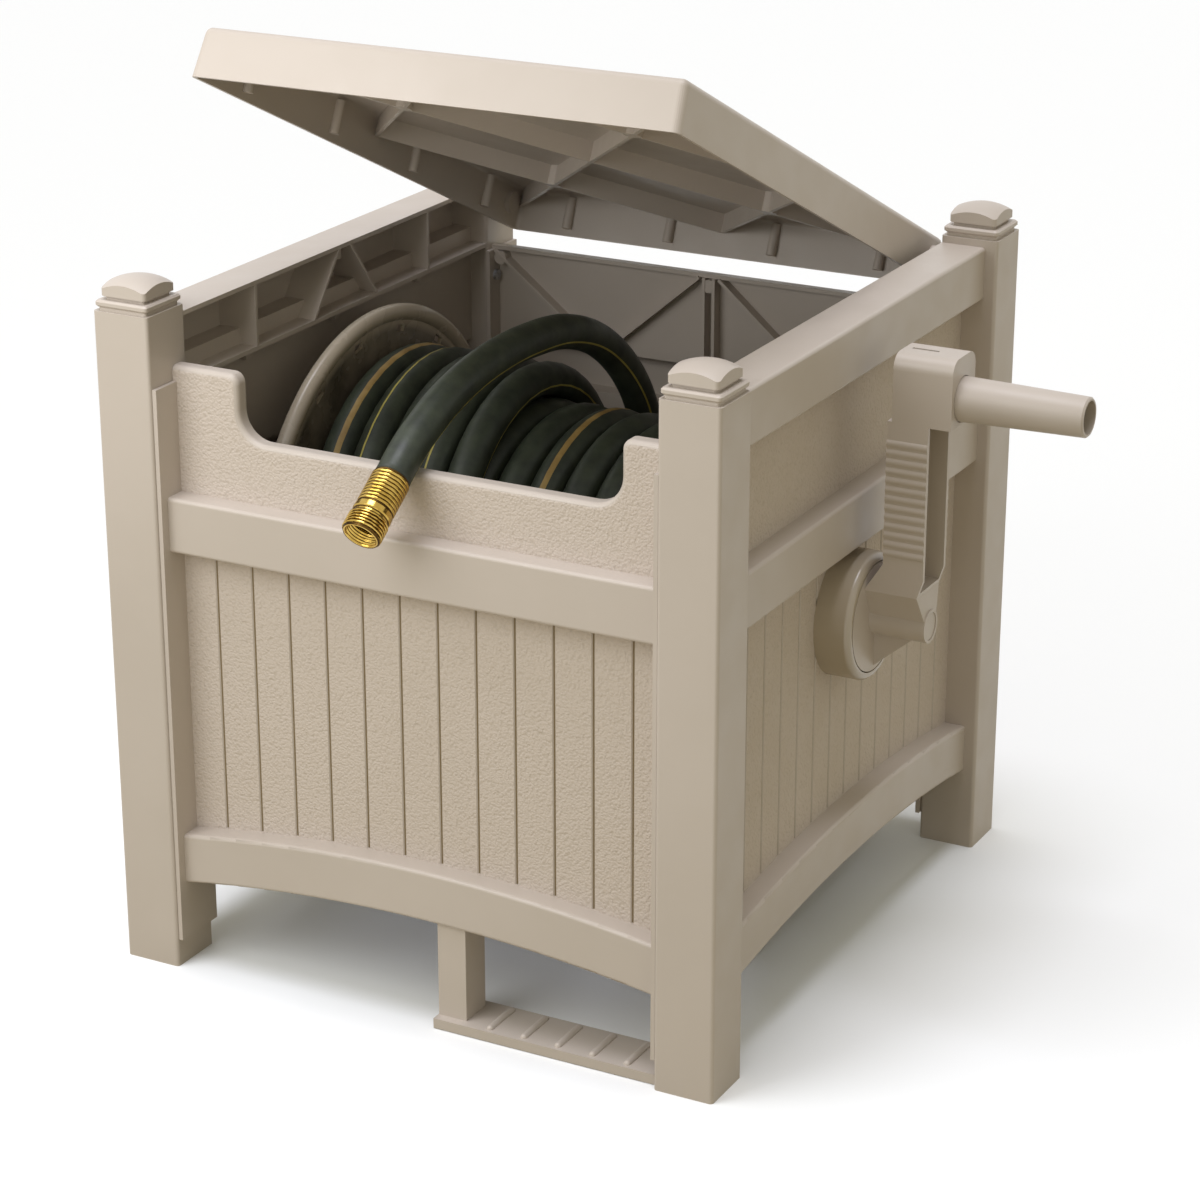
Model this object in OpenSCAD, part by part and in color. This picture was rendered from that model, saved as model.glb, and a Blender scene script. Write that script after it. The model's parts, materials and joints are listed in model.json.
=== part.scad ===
// Hose reel cabinet: moulded panels between four posts round a crank-driven reel, with a hinged lid.
// Millimetres. X runs along the front, Y from front to back, Z up. The notch that the hose comes out
// of faces -Y and the crank is on the +X side. The cabinet's own frame has X = 0 and Y = 0 at its
// middle and Z = 0 on the floor. Each part is shifted along X by cab_shift, which centres the whole
// object, grip included, on X = 0.

/* [Cabinet] */
// Width over the posts
cab_w = 450; // [440:1:480]
// Depth over the posts
cab_d = 477; // [470:1:500]
// Height of the posts without their caps
post_h = 461; // [459:1:470]
// Side of a square post
post_size = 42; // [40:1:44]
// Rounding of a post's long edges
post_round = 2.5; // [1:0.5:4]
// Wall of every moulded panel and post
wall = 3; // [2.6:0.2:3.4]
// Setback of the planks from the posts' outer faces
plank_set = 25; // [23:0.5:26]
// Setback of the rails from the posts' outer faces
rail_set = 9; // [7:0.5:11]

/* [Rails and planks] */
// Height of the side panels' top rail
top_rail_h = 37.5; // [34:0.5:40]
// Drop of the top rail below the post top
top_rail_drop = 5; // [3:0.5:7]
// Drop of the inner shelf below the top rail
shelf_drop = 8; // [6:0.5:12]
// Height of the middle rail
mid_rail_h = 38; // [32:1:42]
// Drop of the middle rail's top below the post top
mid_rail_drop = 123; // [116:1:126]
// Height of the base rail
base_rail_h = 35.5; // [32:0.5:38]
// Underside of the base rail above the floor, at the posts
base_rail_z = 60; // [57:1:64]
// Rise of the base rail's arch
arch_rise = 15; // [10:1:18]
// Rounding of a rail's outer edges
rail_round = 2.5; // [1:0.5:3]
// Widest pitch of the planks
plank_pitch = 28.2; // [24:0.2:33]
// Width of a groove between planks
groove_w = 2.6; // [2:0.2:3.4]

/* [Front notch] */
// Drop of the front panel's horns below the post top
horn_drop = 37.5; // [37:0.5:43]
// Depth of the notch below the horns
notch_h = 44.5; // [40:0.5:45]
// Width of the left horn
left_horn_w = 50; // [42:1:60]
// Width of the right horn
right_horn_w = 37; // [32:1:50]
// Fillet at the notch's lower corners
notch_round = 20; // [12:1:24]
// Depth of a turned lip
lip_d = 10; // [8:1:14]
// Rounding of a lip's outer edge
lip_round = 4; // [3.5:0.5:5]
// Rounding of the horns' upper corners
horn_round = 7; // [5.5:0.5:9]

/* [Rear panel] */
// Drop of the rear panel's top below the post top
rear_drop = 53; // [51:1:59]
// Depth of the stiffening ribs on the inside
rib_d = 9; // [6:1:12]
// Thickness of the stiffening ribs
rib_t = 2.4; // [2:0.2:3]

/* [Post caps] */
// Height of the step under the cap's plate
cap_step_h = 2.5; // [1.5:0.5:3]
// Setback of the step from the posts' faces
cap_step_set = 2.6; // [2:0.2:3]
// Thickness of the cap's plate
cap_plate_t = 4.5; // [4:0.5:6]
// Bevel of the plate's edges
cap_bevel = 1.2; // [0.6:0.2:1.6]
// Setback of the plate from the posts' faces
cap_set = 0.8; // [0.4:0.2:1.6]
// Height of the neck under the pillow
cap_neck_h = 2.5; // [2:0.5:4]
// Side of the neck
cap_neck_w = 30; // [28:1:32]
// Side of the pillow
cap_pillow_w = 34.5; // [33:0.5:36]
// Height of the pillow at its middle
cap_pillow_h = 12; // [11:0.5:14]
// Crown of the pillow over its corners
cap_crown = 8; // [6:0.5:9]
// Depth of the plug in the post
cap_plug_h = 8; // [5:0.5:9]

/* [Foot rest] */
// Left end of the tread, from the cabinet's middle
tread_left = 17; // [5:1:40]
// Depth of the tread from front to back
tread_d = 38; // [36:1:42]
// Setback of the tread's front edge from the posts' faces
tread_set = 5.5; // [5:0.5:8]
// Thickness of the tread
tread_t = 7; // [6.5:0.5:9]
// Gap between the floor and the tread
tread_lift = 0.5; // [0.3:0.1:1]
// Width of the leg
leg_w = 21; // [18:1:26]
// Depth of the leg
leg_d = 25; // [22:1:26]
// Top of the leg above the floor
leg_top_z = 97; // [92:1:98]
// Pitch of the tread's grip ribs
tread_rib_pitch = 25.4; // [20:0.2:32]
// Height of the grip ribs
tread_rib_h = 2.5; // [1.5:0.5:3.5]
// Distance from the last grip rib to the right post
tread_rib_end = 24; // [16:1:28]
// Length of the tongue in the post
tongue_l = 7; // [5:0.5:10]
// Thickness of the tongue
tongue_t = 3; // [2.5:0.5:3.5]

/* [Lid] */
// Width of the lid
lid_w = 346; // [342:1:350]
// Setback of the closed lid's front from the posts' faces
lid_set = 11; // [9:1:13]
// Setback of the closed lid's rear from the posts' faces
lid_rear_set = 9; // [8:1:12]
// Height of the lid with its skirt
lid_h = 33.5; // [33:0.5:36]
// Inward lean of the skirt
lid_draft = 2; // [1:0.5:3]
// Rounding of the lid's edges
lid_round = 5; // [4:0.5:6]
// Wall of the lid
lid_wall = 2.5; // [2:0.5:3]
// Depth of the lid's ribs
lid_rib_d = 14; // [10:1:14]
// Angle at which the lid stands open
lid_open = 25; // [5:1:60]
// Distance of the hinge axis below the lid's top
hinge_drop = 16.5; // [15:0.5:18]
// Distance of the hinge axis from the posts' rear faces
hinge_set = 30.5; // [29:0.5:32]
// Radius of the hinge trunnions
trunnion_r = 5; // [4:0.5:6]
// Length of a trunnion in its socket
trunnion_l = 11; // [8:0.5:12]
// Wall round a trunnion's socket and of its shoulder
socket_wall = 3; // [2.5:0.5:3]

/* [Reel] */
// Distance of the reel's axis below the post top
axis_drop = 210.5; // [209:0.5:212]
// Radius of a flange
flange_r = 160.5; // [158:0.5:162]
// Distance between the flanges' inner faces
reel_inner_w = 314; // [314:0.5:316]
// Radius of the flange's rolled rim in section
rim_r = 6; // [5:0.5:6.5]
// Thickness of a flange's disc
disc_t = 3; // [2.5:0.5:3.5]
// Number of radial ribs on a flange
flange_ribs = 12; // [8:4:16]
// Height of the flange's radial ribs
flange_rib_h = 5; // [3:0.5:6]
// Number of slots near a flange's rim
flange_slots = 16; // [8:8:32]
// Length of a slot
slot_l = 10; // [6:1:12]
// Height of a slot
slot_h = 5; // [3:0.5:6]
// Distance of the slots from the flange's edge
slot_in = 17.5; // [16:0.5:20]
// Outer radius of the drum
drum_r = 62; // [58:1:66]
// Outer radius of the spindles
spindle_r = 24; // [23:0.5:25]
// Bore radius of the spindles
spindle_bore_r = 19; // [17:0.5:19]

/* [Crank] */
// Outer radius of the collar on the wall
collar_r = 43.8; // [43:0.2:45]
// How far the collar stands out from the planks
collar_d = 25.5; // [24:0.5:27]
// Rounding of the collar's outer edge
collar_round = 4.5; // [3:0.5:5]
// Radius of the crank's disc
crank_disc_r = 37.4; // [37:0.2:38]
// Radius of the crank's boss
boss_r = 11.5; // [11:0.5:13]
// Length of the boss beyond the disc
boss_l = 39.5; // [38:0.5:42]
// Distance from the reel's axis to the grip's axis
crank_r = 159.5; // [156:0.5:162]
// Width of the arm
arm_w = 38.2; // [37:0.2:40]
// Depth of the arm
arm_d = 28.5; // [27:0.5:29]
// Gap between the disc and the arm
arm_gap = 12; // [11:0.5:13]
// Wall of the arm
arm_wall = 3; // [2.5:0.5:3.5]
// Height above the reel's axis from which the arm's back slopes out to the disc
arm_foot_h = 45; // [43:0.5:47]
// Height above the reel's axis from which the arm's sides close in on the boss
arm_step_h = 25; // [23:0.5:27]
// Setback of the arm's front edges over the boss
arm_notch = 4; // [3:0.5:5]
// Pitch of the arm's ribs
arm_rib_pitch = 6.25; // [5.5:0.25:8]
// Height of the arm's ribs
arm_rib_h = 0.8; // [0.6:0.1:1]
// Height of the arm's ribbed stretch
arm_ribbed_h = 78; // [60:1:80]
// Depth of the block that holds the grip
block_d = 41; // [40:0.5:43]
// Height of the block
block_h = 46; // [44:1:48]
// Rounding of the block's top
block_round = 10; // [8:1:12]

/* [Grip] */
// Length of the grip beyond the block
grip_l = 85.5; // [78:0.5:95]
// Radius of the grip at the block
grip_root_r = 14.9; // [14.5:0.1:15.4]
// Radius of the grip at its free end
grip_end_r = 13.2; // [12.8:0.1:14]
// Radius of the grip's bore
grip_bore_r = 10.9; // [10.5:0.1:11.2]
// Radius of the pin that the grip turns on
pin_r = 6; // [5:0.5:7]
// Depth of the grip's seat in the block
grip_seat = 10; // [8:0.5:12]

/* [Water way] */
// Radius of a male garden-hose thread
hose_thread_r = 13.4; // [13.3:0.05:13.5]
// Length of the inlet's thread
inlet_thread_l = 14; // [12:0.5:15]
// Outer radius of the inlet tube
inlet_r = 11; // [10:0.5:11.5]
// Bore radius of the inlet tube
inlet_bore_r = 6.5; // [5:0.5:7]
// Radius of a seal in section
seal_r = 1.1; // [0.9:0.1:1.3]
// Outer radius of the elbow's sleeve
elbow_r = 15; // [14:0.5:16]
// Radius of the elbow's outlet
outlet_r = 9; // [8.5:0.5:9.5]
// Length of the inner coupling
inner_coupling_l = 25; // [22:1:25]

/* [Hose] */
// Outer diameter of the hose
hose_d = 24; // [22:0.5:24]
// Pitch of the turns along the drum
turn_pitch = 24.7; // [24.6:0.1:24.8]
// Distance between layers of hose
layer_step = 24.5; // [24.4:0.1:24.8]
// Centreline radius of the top layer
top_layer_r = 123; // [122:0.5:123]
// Length of the coupling's ferrule
ferrule_l = 26; // [22:1:30]
// Radius of the ferrule between its ridges
ferrule_r = 12.1; // [12:0.1:12.4]
// Number of ridges on the ferrule
ferrule_ridges = 9; // [5:1:11]
// Length of the coupling's fitting beyond the ferrule
fitting_l = 20.5; // [18:0.5:24]
// Length of the coupling's thread
fitting_thread_l = 13; // [11:0.5:14]
// Bore radius of the couplings
coupling_bore_r = 8.5; // [7:0.5:9]

/* [Screws] */
// Radius of a panel screw's shank
screw_r = 2; // [1.5:0.25:2.5]
// Radius of a panel screw's head
screw_head_r = 4; // [3.5:0.25:4.5]
// Height of a panel screw's head
screw_head_h = 2.4; // [2:0.2:3]
// Radius of the crank screw's shank
crank_screw_r = 4; // [3:0.5:4.5]
// Height of the crank screw's head
crank_head_h = 4; // [3:0.5:5]

/* [Clearances] */
// Gap between still parts that fit together
fit_gap = 0.2; // [0.1:0.05:0.3]
// Radial clearance of a turning fit
run_gap = 0.05; // [0.02:0.01:0.09]
// Gap between a moving face and its neighbour
move_gap = 0.5; // [0.4:0.1:0.8]
// Radial gap between the crank's disc and its collar
disc_gap = 0.8; // [0.5:0.1:1]
// Gap under the closed lid
lid_gap = 1; // [0.5:0.5:2]

/* [Hidden] */

taupe = [0.77, 0.71, 0.62];
reel_grey = [0.5, 0.46, 0.4];
hose_green = [0.13, 0.16, 0.13];
brass = [0.8, 0.62, 0.28];
steel = [0.7, 0.7, 0.72];
seal_black = [0.1, 0.1, 0.1];

round_fn = 64;
arch_fn = 720;
hull_fn = 24;
past = 1;
groove_end = 0.4;
groove_out = 0.3;

half_w = cab_w / 2;
half_d = cab_d / 2;
post_in_x = half_w - post_size;
post_in_y = half_d - post_size;
post_hole = post_size - 2 * wall;
plank_x = half_w - plank_set;
plank_y = half_d - plank_set;
rail_out = plank_set - rail_set;
shelf_in = plank_x - post_in_x - 0.5;
top_rail_z = post_h - top_rail_drop - top_rail_h;
beam_z = top_rail_z + top_rail_h;
shelf_z = top_rail_z - shelf_drop;
brace_run = 38;
mid_rail_top = post_h - mid_rail_drop;
mid_rail_z = mid_rail_top - mid_rail_h;
horn_z = post_h - horn_drop;
notch_z = horn_z - notch_h;
rear_top_z = post_h - rear_drop;
axis_z = post_h - axis_drop;
side_span = 2 * post_in_y;
front_span = 2 * (post_in_x - fit_gap);

// Flanges that fix the front and rear panels to the posts
flange_z = 20;
flange_drop = 10.5;
flange_front = plank_set - 2;
flange_back = 18.5;
screw_heights = [80, post_h - 221, post_h - 76];
screw_y = wall + 6.5;

// Crank, from the wall outwards
collar_face_x = plank_x + collar_d;
collar_hole_r = crank_disc_r + disc_gap;
crank_plate_t = 4;
plug_in_x = plank_x - 2;
arm_x = collar_face_x + arm_gap;
arm_front_x = arm_x + arm_d;
arm_foot_z = axis_z + arm_foot_h;
arm_step_z = axis_z + arm_step_h;
boss_seat_h = boss_r / 2;
boss_seat_w = sqrt(boss_r * boss_r - boss_seat_h * boss_seat_h) - 0.4;
boss_end_x = collar_face_x + boss_l;
crank_head_r = boss_r - 2.2;
block_x = arm_x + 3;
block_face_x = block_x + block_d;
grip_z = axis_z + crank_r;
block_top_z = grip_z + 29;
block_z = block_top_z - block_h;
grip_x = block_face_x - grip_seat + move_gap;
grip_end_x = block_face_x + grip_l;
grip_floor_t = 5;
pin_head_h = 3;
pin_in_x = block_x + 10;
cab_shift = -(grip_end_x - half_w) / 2;

// Reel, from its middle outwards
disc_in_x = reel_inner_w / 2;
disc_out_x = disc_in_x + disc_t;
bush_r = spindle_r + run_gap;
bush_out_r = bush_r + 4;
bearing_seat_r = bush_out_r + 9;
bush_in_x = plank_x - wall - 12;
spindle_end_x = plank_x + 14;
spindle_web_x = plank_x - 12;
spindle_web_t = 6;
stub_end_x = plank_x - move_gap;
bushing_plate_t = 6;
bushing_plate_r = 40;
drum_in_r = drum_r - wall;
drum_boss_r = 5.5;
drum_boss_at = drum_in_r - drum_boss_r + 1.5;
drum_boss_l = 20;

// Inlet and elbow, from the wall inwards
inlet_flange_x = plank_x + bushing_plate_t + fit_gap;
inlet_flange_t = 3;
inlet_thread_x = inlet_flange_x + inlet_flange_t;
tube_end_x = disc_in_x - 16;
seal_places = [disc_in_x - 11, disc_in_x - 3];
seal_mid_r = inlet_r - seal_r;
elbow_bore_r = inlet_r + run_gap;
elbow_out_x = disc_out_x + flange_rib_h;
elbow_in_x = disc_in_x - 42;
elbow_collar_r = 26;
elbow_cavity_r = 7.5;
outlet_x = -(disc_in_x - 29);
outlet_top = 40;
outlet_lap = 7;
inner_coupling_r = 12.5;

// Lid in its closed place
lid_z = horn_z + lid_gap;
lid_top_z = lid_z + lid_h;
lid_front_y = -half_d + lid_set;
lid_rear_y = half_d - lid_rear_set;
lid_mid_y = (lid_front_y + lid_rear_y) / 2;
lid_in_x = lid_w / 2 - lid_wall;
lid_in_y = (lid_rear_y - lid_front_y) / 2 - lid_wall;
hinge_z = lid_top_z - hinge_drop;
hinge_y = half_d - hinge_set;
socket_r = trunnion_r + socket_wall;

// Foot rest
tread_y = -half_d + tread_set;
tread_end_x = post_in_x - fit_gap;
leg_x = tread_left + 0.5;
leg_y = -plank_y - rail_out + wall + fit_gap;
tongue_z = wall + 2 * fit_gap;
tongue_in = 6;
screw_bite = 2;

// Winding: degrees turned in each stretch, in steps of ring_step, and its place along the drum
ring_step = 15;
winding_sides = 6;
core_gap = 0.3;
lower_turned = ring_step * floor((disc_in_x - hose_d / 2 - core_gap) * 720 / turn_pitch / ring_step);
climb_turned = 90;
upper_turned = 1650;
shift_turned = 150;
upper_from = lower_turned + climb_turned;
shift_from = upper_from + upper_turned;
turned = shift_from + shift_turned;
low_layer_r = top_layer_r - layer_step;
winding_end_x = turn_pitch * lower_turned / 720;
shift_from_x = -winding_end_x + turn_pitch * upper_turned / 360;
lead_x = -6;
core_r = low_layer_r - hose_d / 2 - core_gap;

// Free end of the hose in the plane X = lead_x, as [Y, Z]
lead_route = [[123, 274.8], [121, 297], [113, 323], [97, 351], [69, 380], [32, 404], [-13, 419],
    [-60, 424], [-97, 424], [-132, 420.5], [-165, 413], [-190, 403.5], [-212, 393], [-232, 379.5]];
lead_sides = 12;
lead_end = lead_route[len(lead_route) - 1];
lead_before = lead_route[len(lead_route) - 2];
coupling_tilt = atan2(lead_before[1] - lead_end[1], lead_before[0] - lead_end[0]);

module placed(tint) color(tint) translate([cab_shift, 0, 0]) children();

module on_reel(tint) placed(tint) translate([0, 0, axis_z]) children();

module block(low, high) translate(low) cube(high - low);

// Solid of revolution about X from a profile drawn as [radius, X]
module turned_x() rotate([0, 90, 0]) rotate_extrude($fn = round_fn) children();

module rod_x(x0, x1, r) translate([x0, 0, 0]) rotate([0, 90, 0])
    cylinder(h = x1 - x0, r = r, $fn = round_fn);

module rod_y(y0, y1, r) translate([0, y1, 0]) rotate([90, 0, 0])
    cylinder(h = y1 - y0, r = r, $fn = round_fn);

module ring_section(r0, r1, x0, x1) translate([r0, x0]) square([r1 - r0, x1 - x0]);

module rounded_square(w, d, r) {
    square([w - 2 * r, d], center = true);
    square([w, d - 2 * r], center = true);
    for (sx = [-1, 1], sy = [-1, 1])
        translate([sx * (w / 2 - r), sy * (d / 2 - r)]) circle(r = r, $fn = hull_fn);
}

// Post on its own foot, open at the top for its cap
module post() {
    difference() {
        linear_extrude(post_h) rounded_square(post_size, post_size, post_round);
        translate([0, 0, wall]) linear_extrude(post_h) square(post_hole, center = true);
    }
}

// The wall modules draw a panel whose planks have their outer face on Y = 0, with the outside
// towards -Y and its length along X

// Section of a rail as [height, outwards]: a channel open to the inside, its outer edges rounded
module rail_section(height) {
    difference() {
        union() {
            translate([0, -wall]) square([height, wall + rail_out - rail_round]);
            translate([rail_round, -wall]) square([height - 2 * rail_round, wall + rail_out]);
            for (u = [rail_round, height - rail_round])
                translate([u, rail_out - rail_round]) circle(r = rail_round, $fn = hull_fn);
        }
        translate([wall, -wall - past]) square([height - 2 * wall, rail_out + past]);
    }
}

module straight_rail(span, height, z) translate([-span / 2, 0, z]) rotate([0, -90, 180])
    linear_extrude(span) rail_section(height);

function arch_radius(span) = (span * span / 4 + arch_rise * arch_rise) / (2 * arch_rise);

// Turns a plan drawn round the arch's centre upright, its axis along -Y
module on_arch(span) translate([0, 0, base_rail_z + arch_rise - arch_radius(span)]) rotate([90, 0, 0])
    children();

module arched_rail(span) {
    reach = asin(span / 2 / arch_radius(span)) + 1;
    intersection() {
        on_arch(span) rotate(90 - reach) rotate_extrude(angle = 2 * reach, $fn = arch_fn)
            translate([arch_radius(span), 0]) rail_section(base_rail_h);
        block([-span / 2, -rail_out - past, 0], [span / 2, wall + past, mid_rail_z]);
    }
}

// Top of the base rail at x, where the planks rise from it
function arch_top(span, x) =
    let (top_r = arch_radius(span) + base_rail_h)
        base_rail_z + arch_rise - arch_radius(span) + sqrt(top_r * top_r - x * x);

// Grooves between the planks, each from just above the base rail to just under the middle rail.
// Round the reel's axis they leave a plain seat of radius seat_r for what is fixed there.
module plank_grooves(span, seat_r) {
    count = ceil(span / plank_pitch);
    for (i = [1 : count - 1]) {
        x = (i / count - 0.5) * span;
        low = arch_top(span, x) + groove_end;
        high = mid_rail_z - groove_end;
        if (abs(x) < seat_r) {
            half = sqrt(seat_r * seat_r - x * x);
            plank_groove(x, low, axis_z - half);
            plank_groove(x, axis_z + half, high);
        } else plank_groove(x, low, high);
    }
}

module plank_groove(x, low, high) {
    side = (groove_w + 2 * groove_out) / sqrt(2);
    if (high > low)
        translate([x, -groove_out, low]) rotate(45) translate([-side / 2, -side / 2, 0])
            cube([side, side, high - low]);
}

// Planks between the base rail and the middle rail
module planks(span, seat_r) {
    difference() {
        block([-span / 2, 0, base_rail_z], [span / 2, wall, mid_rail_z + wall / 2]);
        translate([0, wall + past, 0]) on_arch(span)
            cylinder(h = wall + 2 * past, r = arch_radius(span) + base_rail_h - wall / 2, $fn = arch_fn);
        plank_grooves(span, seat_r);
    }
}

module lower_wall(span, seat_r = 0) {
    planks(span, seat_r);
    straight_rail(span, mid_rail_h, mid_rail_z);
    arched_rail(span);
}

// Upright sheet from an outline drawn as [X, Z]
module sheet(thickness) translate([0, thickness, 0]) rotate([90, 0, 0]) linear_extrude(thickness)
    children();

// Section of a turned lip as [distance from the edge, depth behind the outer face]
module lip_section() {
    difference() {
        union() {
            translate([0, lip_round]) square([wall, lip_d - lip_round]);
            intersection() {
                translate([lip_round, lip_round]) circle(r = lip_round, $fn = hull_fn);
                square(lip_round);
            }
        }
        translate([wall, wall]) square(lip_d);
    }
}

// Straight lip between two points of the edge, the panel on the right of the way
module lip_run(from, to) {
    way = to - from;
    translate([from[0], 0, from[1]]) rotate([0, 90 - atan2(way[1], way[0]), 0])
        linear_extrude(norm(way)) lip_section();
}

// Lip round an inner corner, such as the notch's, with the panel outside the arc
module lip_fillet(centre, start) translate([centre[0], 0, centre[1]]) rotate([90, 0, 0]) rotate(start)
    rotate_extrude(angle = 90, $fn = round_fn) translate([notch_round, 0]) mirror([0, 1]) lip_section();

// Lip round an outer corner, such as a horn's, with the panel inside the arc
module lip_corner(centre, start) translate([centre[0], 0, centre[1]]) rotate([90, 0, 0]) rotate(start)
    rotate_extrude(angle = 90, $fn = round_fn) translate([horn_round, 0]) rotate(180) lip_section();

// Side flanges of the front and rear panels, each against a post
module post_flanges(top_z) {
    for (side = [-1, 1])
        difference() {
            block([side * (front_span - wall) / 2 - wall / 2, -flange_front, flange_z],
                [side * (front_span - wall) / 2 + wall / 2, flange_back, top_z]);
            for (z = screw_heights)
                translate([0, screw_y, z]) rod_x(-half_w, half_w, screw_r + run_gap);
        }
}

module notch_outline() {
    grown_r = notch_round + lip_round;
    left = -front_span / 2 + left_horn_w - lip_round;
    right = front_span / 2 - right_horn_w + lip_round;
    low = notch_z - lip_round;
    translate([left, low + grown_r]) square([right - left, horn_z]);
    translate([left + grown_r, low]) square([right - left - 2 * grown_r, horn_z]);
    for (x = [left + grown_r, right - grown_r])
        translate([x, low + grown_r]) circle(r = grown_r, $fn = round_fn);
}

module horn_outline(width) {
    r = horn_round - lip_round;
    top = horn_z - lip_round;
    square([width - lip_round, top - r]);
    square([width - lip_round - r, top]);
    translate([width - lip_round - r, top - r]) circle(r = r, $fn = hull_fn);
}

module front_upper_wall() {
    left = -front_span / 2 + left_horn_w;
    right = front_span / 2 - right_horn_w;
    sheet(wall) difference() {
        union() {
            translate([-front_span / 2, 0]) horn_outline(left_horn_w);
            translate([front_span / 2, 0]) mirror([1, 0]) horn_outline(right_horn_w);
            translate([-front_span / 2, 0]) square([front_span, notch_z + notch_round]);
        }
        notch_outline();
        translate([-front_span, 0]) square([2 * front_span, mid_rail_top - wall]);
    }
    lip_run([-front_span / 2, horn_z], [left - horn_round, horn_z]);
    lip_corner([left - horn_round, horn_z - horn_round], 0);
    lip_run([left, horn_z - horn_round], [left, notch_z + notch_round]);
    lip_fillet([left + notch_round, notch_z + notch_round], 180);
    lip_run([left + notch_round, notch_z], [right - notch_round, notch_z]);
    lip_fillet([right - notch_round, notch_z + notch_round], 270);
    lip_run([right, notch_z + notch_round], [right, horn_z - horn_round]);
    lip_corner([right + horn_round, horn_z - horn_round], 90);
    lip_run([right + horn_round, horn_z], [front_span / 2, horn_z]);
}

module front_panel() placed(taupe) difference() {
    translate([0, -plank_y, 0]) {
        lower_wall(front_span);
        front_upper_wall();
        post_flanges(horn_z - flange_drop);
    }
    block([leg_x - fit_gap, leg_y - 2 * fit_gap, 0],
        [leg_x + leg_w + fit_gap, -post_in_y, leg_top_z - wall]);
    on_foot_screw() rod_y(-wall - fit_gap - screw_bite - past / 4, 0, screw_r + run_gap);
}

// Rib on the inside of a wall between two points given as [X, Z]
module wall_rib(from, to) {
    way = to - from;
    translate([from[0], wall - 0.5, from[1]]) rotate([0, -atan2(way[1], way[0]), 0])
        translate([0, 0, -rib_t / 2]) cube([norm(way), rib_d + 0.5, rib_t]);
}

module rear_upper_wall() {
    low = mid_rail_top - wall;
    top = rear_top_z - wall;
    side = front_span / 2 - wall;
    sheet(wall) translate([-front_span / 2, low])
        square([front_span, rear_top_z - lip_round - low]);
    lip_run([-front_span / 2, rear_top_z], [front_span / 2, rear_top_z]);
    for (mirrored = [0, 1]) mirror([mirrored, 0, 0]) {
        wall_rib([side, top], [side / 2, low]);
        wall_rib([8, top], [side / 2, low]);
        wall_rib([4, low], [4, top]);
        translate([side / 2, wall - 0.5, low + 2.5]) rod_y(0, rib_d + 1, 3.5);
        translate([side - 5, wall - 0.5, top - 6]) rod_y(0, rib_d, 5);
    }
    translate([0, wall - 0.5, top - 6]) rod_y(0, rib_d, 5);
}

module rear_panel() placed(taupe) rotate(180) translate([0, -plank_y, 0]) {
    lower_wall(front_span);
    rear_upper_wall();
    post_flanges(rear_top_z - 3);
}

// Top of a side panel: wall, shelf and a top rail like a beam open to the inside
module side_top(span) {
    block([-span / 2, 0, mid_rail_top - wall / 2], [span / 2, wall, top_rail_z + wall / 2]);
    block([-span / 2, 0.5, shelf_z - wall], [span / 2, shelf_in, shelf_z]);
    straight_rail(span, top_rail_h, top_rail_z);
    block([-span / 2, -rail_round, beam_z - wall], [span / 2, shelf_in, beam_z]);
    intersection() {
        union() {
            for (x = [-0.285, 0.285]) beam_plate(x * span);
            for (side = [0, 1]) mirror([side, 0, 0]) beam_brace();
        }
        beam_hollow(span);
    }
    translate([0, shelf_in / 2, beam_z - 12]) cylinder(h = 10, r = 4, $fn = round_fn);
    for (x = [-0.285, 0, 0.285]) shelf_lug(x * span);
}

// Space inside the top rail and over its shelf, reaching slightly into the walls round it
module beam_hollow(span) {
    bite = wall / 2;
    block([-span / 2, -rail_out + bite, top_rail_z + bite], [span / 2, shelf_in, beam_z - bite]);
    block([-span / 2, bite, shelf_z - bite], [span / 2, shelf_in, beam_z - bite]);
}

// Plate across the inside of the top rail
module beam_plate(x) block([x - rib_t / 2, -rail_out, shelf_z - wall], [x + rib_t / 2, shelf_in, beam_z]);

// Slanting brace from the middle of the top rail down to its shelf
module beam_brace() translate([4, shelf_in, 0]) rotate([90, 0, 0]) linear_extrude(shelf_in + rail_out)
    polygon([[0, beam_z], [rib_t, beam_z], [rib_t + brace_run, shelf_z - wall],
        [brace_run, shelf_z - wall]]);

// Lug under the shelf
module shelf_lug(x) block([x - 4, wall - 0.5, shelf_z - wall - 7],
    [x + 4, wall + 6, shelf_z - wall + 0.5]);

// Right side; the left one is its mirror image, apart from the foot rest's slot
module side_panel() {
    difference() {
        union() {
            for (side = [-1, 1])
                translate([half_w - post_size / 2, side * (half_d - post_size / 2), 0]) post();
            translate([plank_x, 0, 0]) rotate(90) {
                lower_wall(side_span + 2 * past, bearing_seat_r);
                side_top(side_span + 2 * past);
            }
            translate([0, hinge_y, hinge_z])
                rod_x(post_in_x + wall / 2, post_in_x + trunnion_l + 2, socket_r);
        }
        translate([0, hinge_y, hinge_z])
            rod_x(post_in_x - past, post_in_x + trunnion_l + past + 2, trunnion_r + run_gap);
        translate([0, 0, axis_z]) rod_x(post_in_x, half_w, bush_out_r + fit_gap);
        for (side = [-1, 1], z = screw_heights)
            translate([0, side * (plank_y - screw_y), z])
                rod_x(post_in_x - past, post_in_x + wall + past, screw_r + run_gap);
    }
}

module left_side_panel() placed(taupe) mirror([1, 0, 0]) side_panel();

module right_side_panel() placed(taupe) difference() {
    side_panel();
    block([post_in_x - past, tread_y + tongue_in - fit_gap, tongue_z - fit_gap],
        [post_in_x + wall + past, tread_y + tread_d - tongue_in + fit_gap,
            tongue_z + tongue_t + fit_gap]);
}

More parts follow.
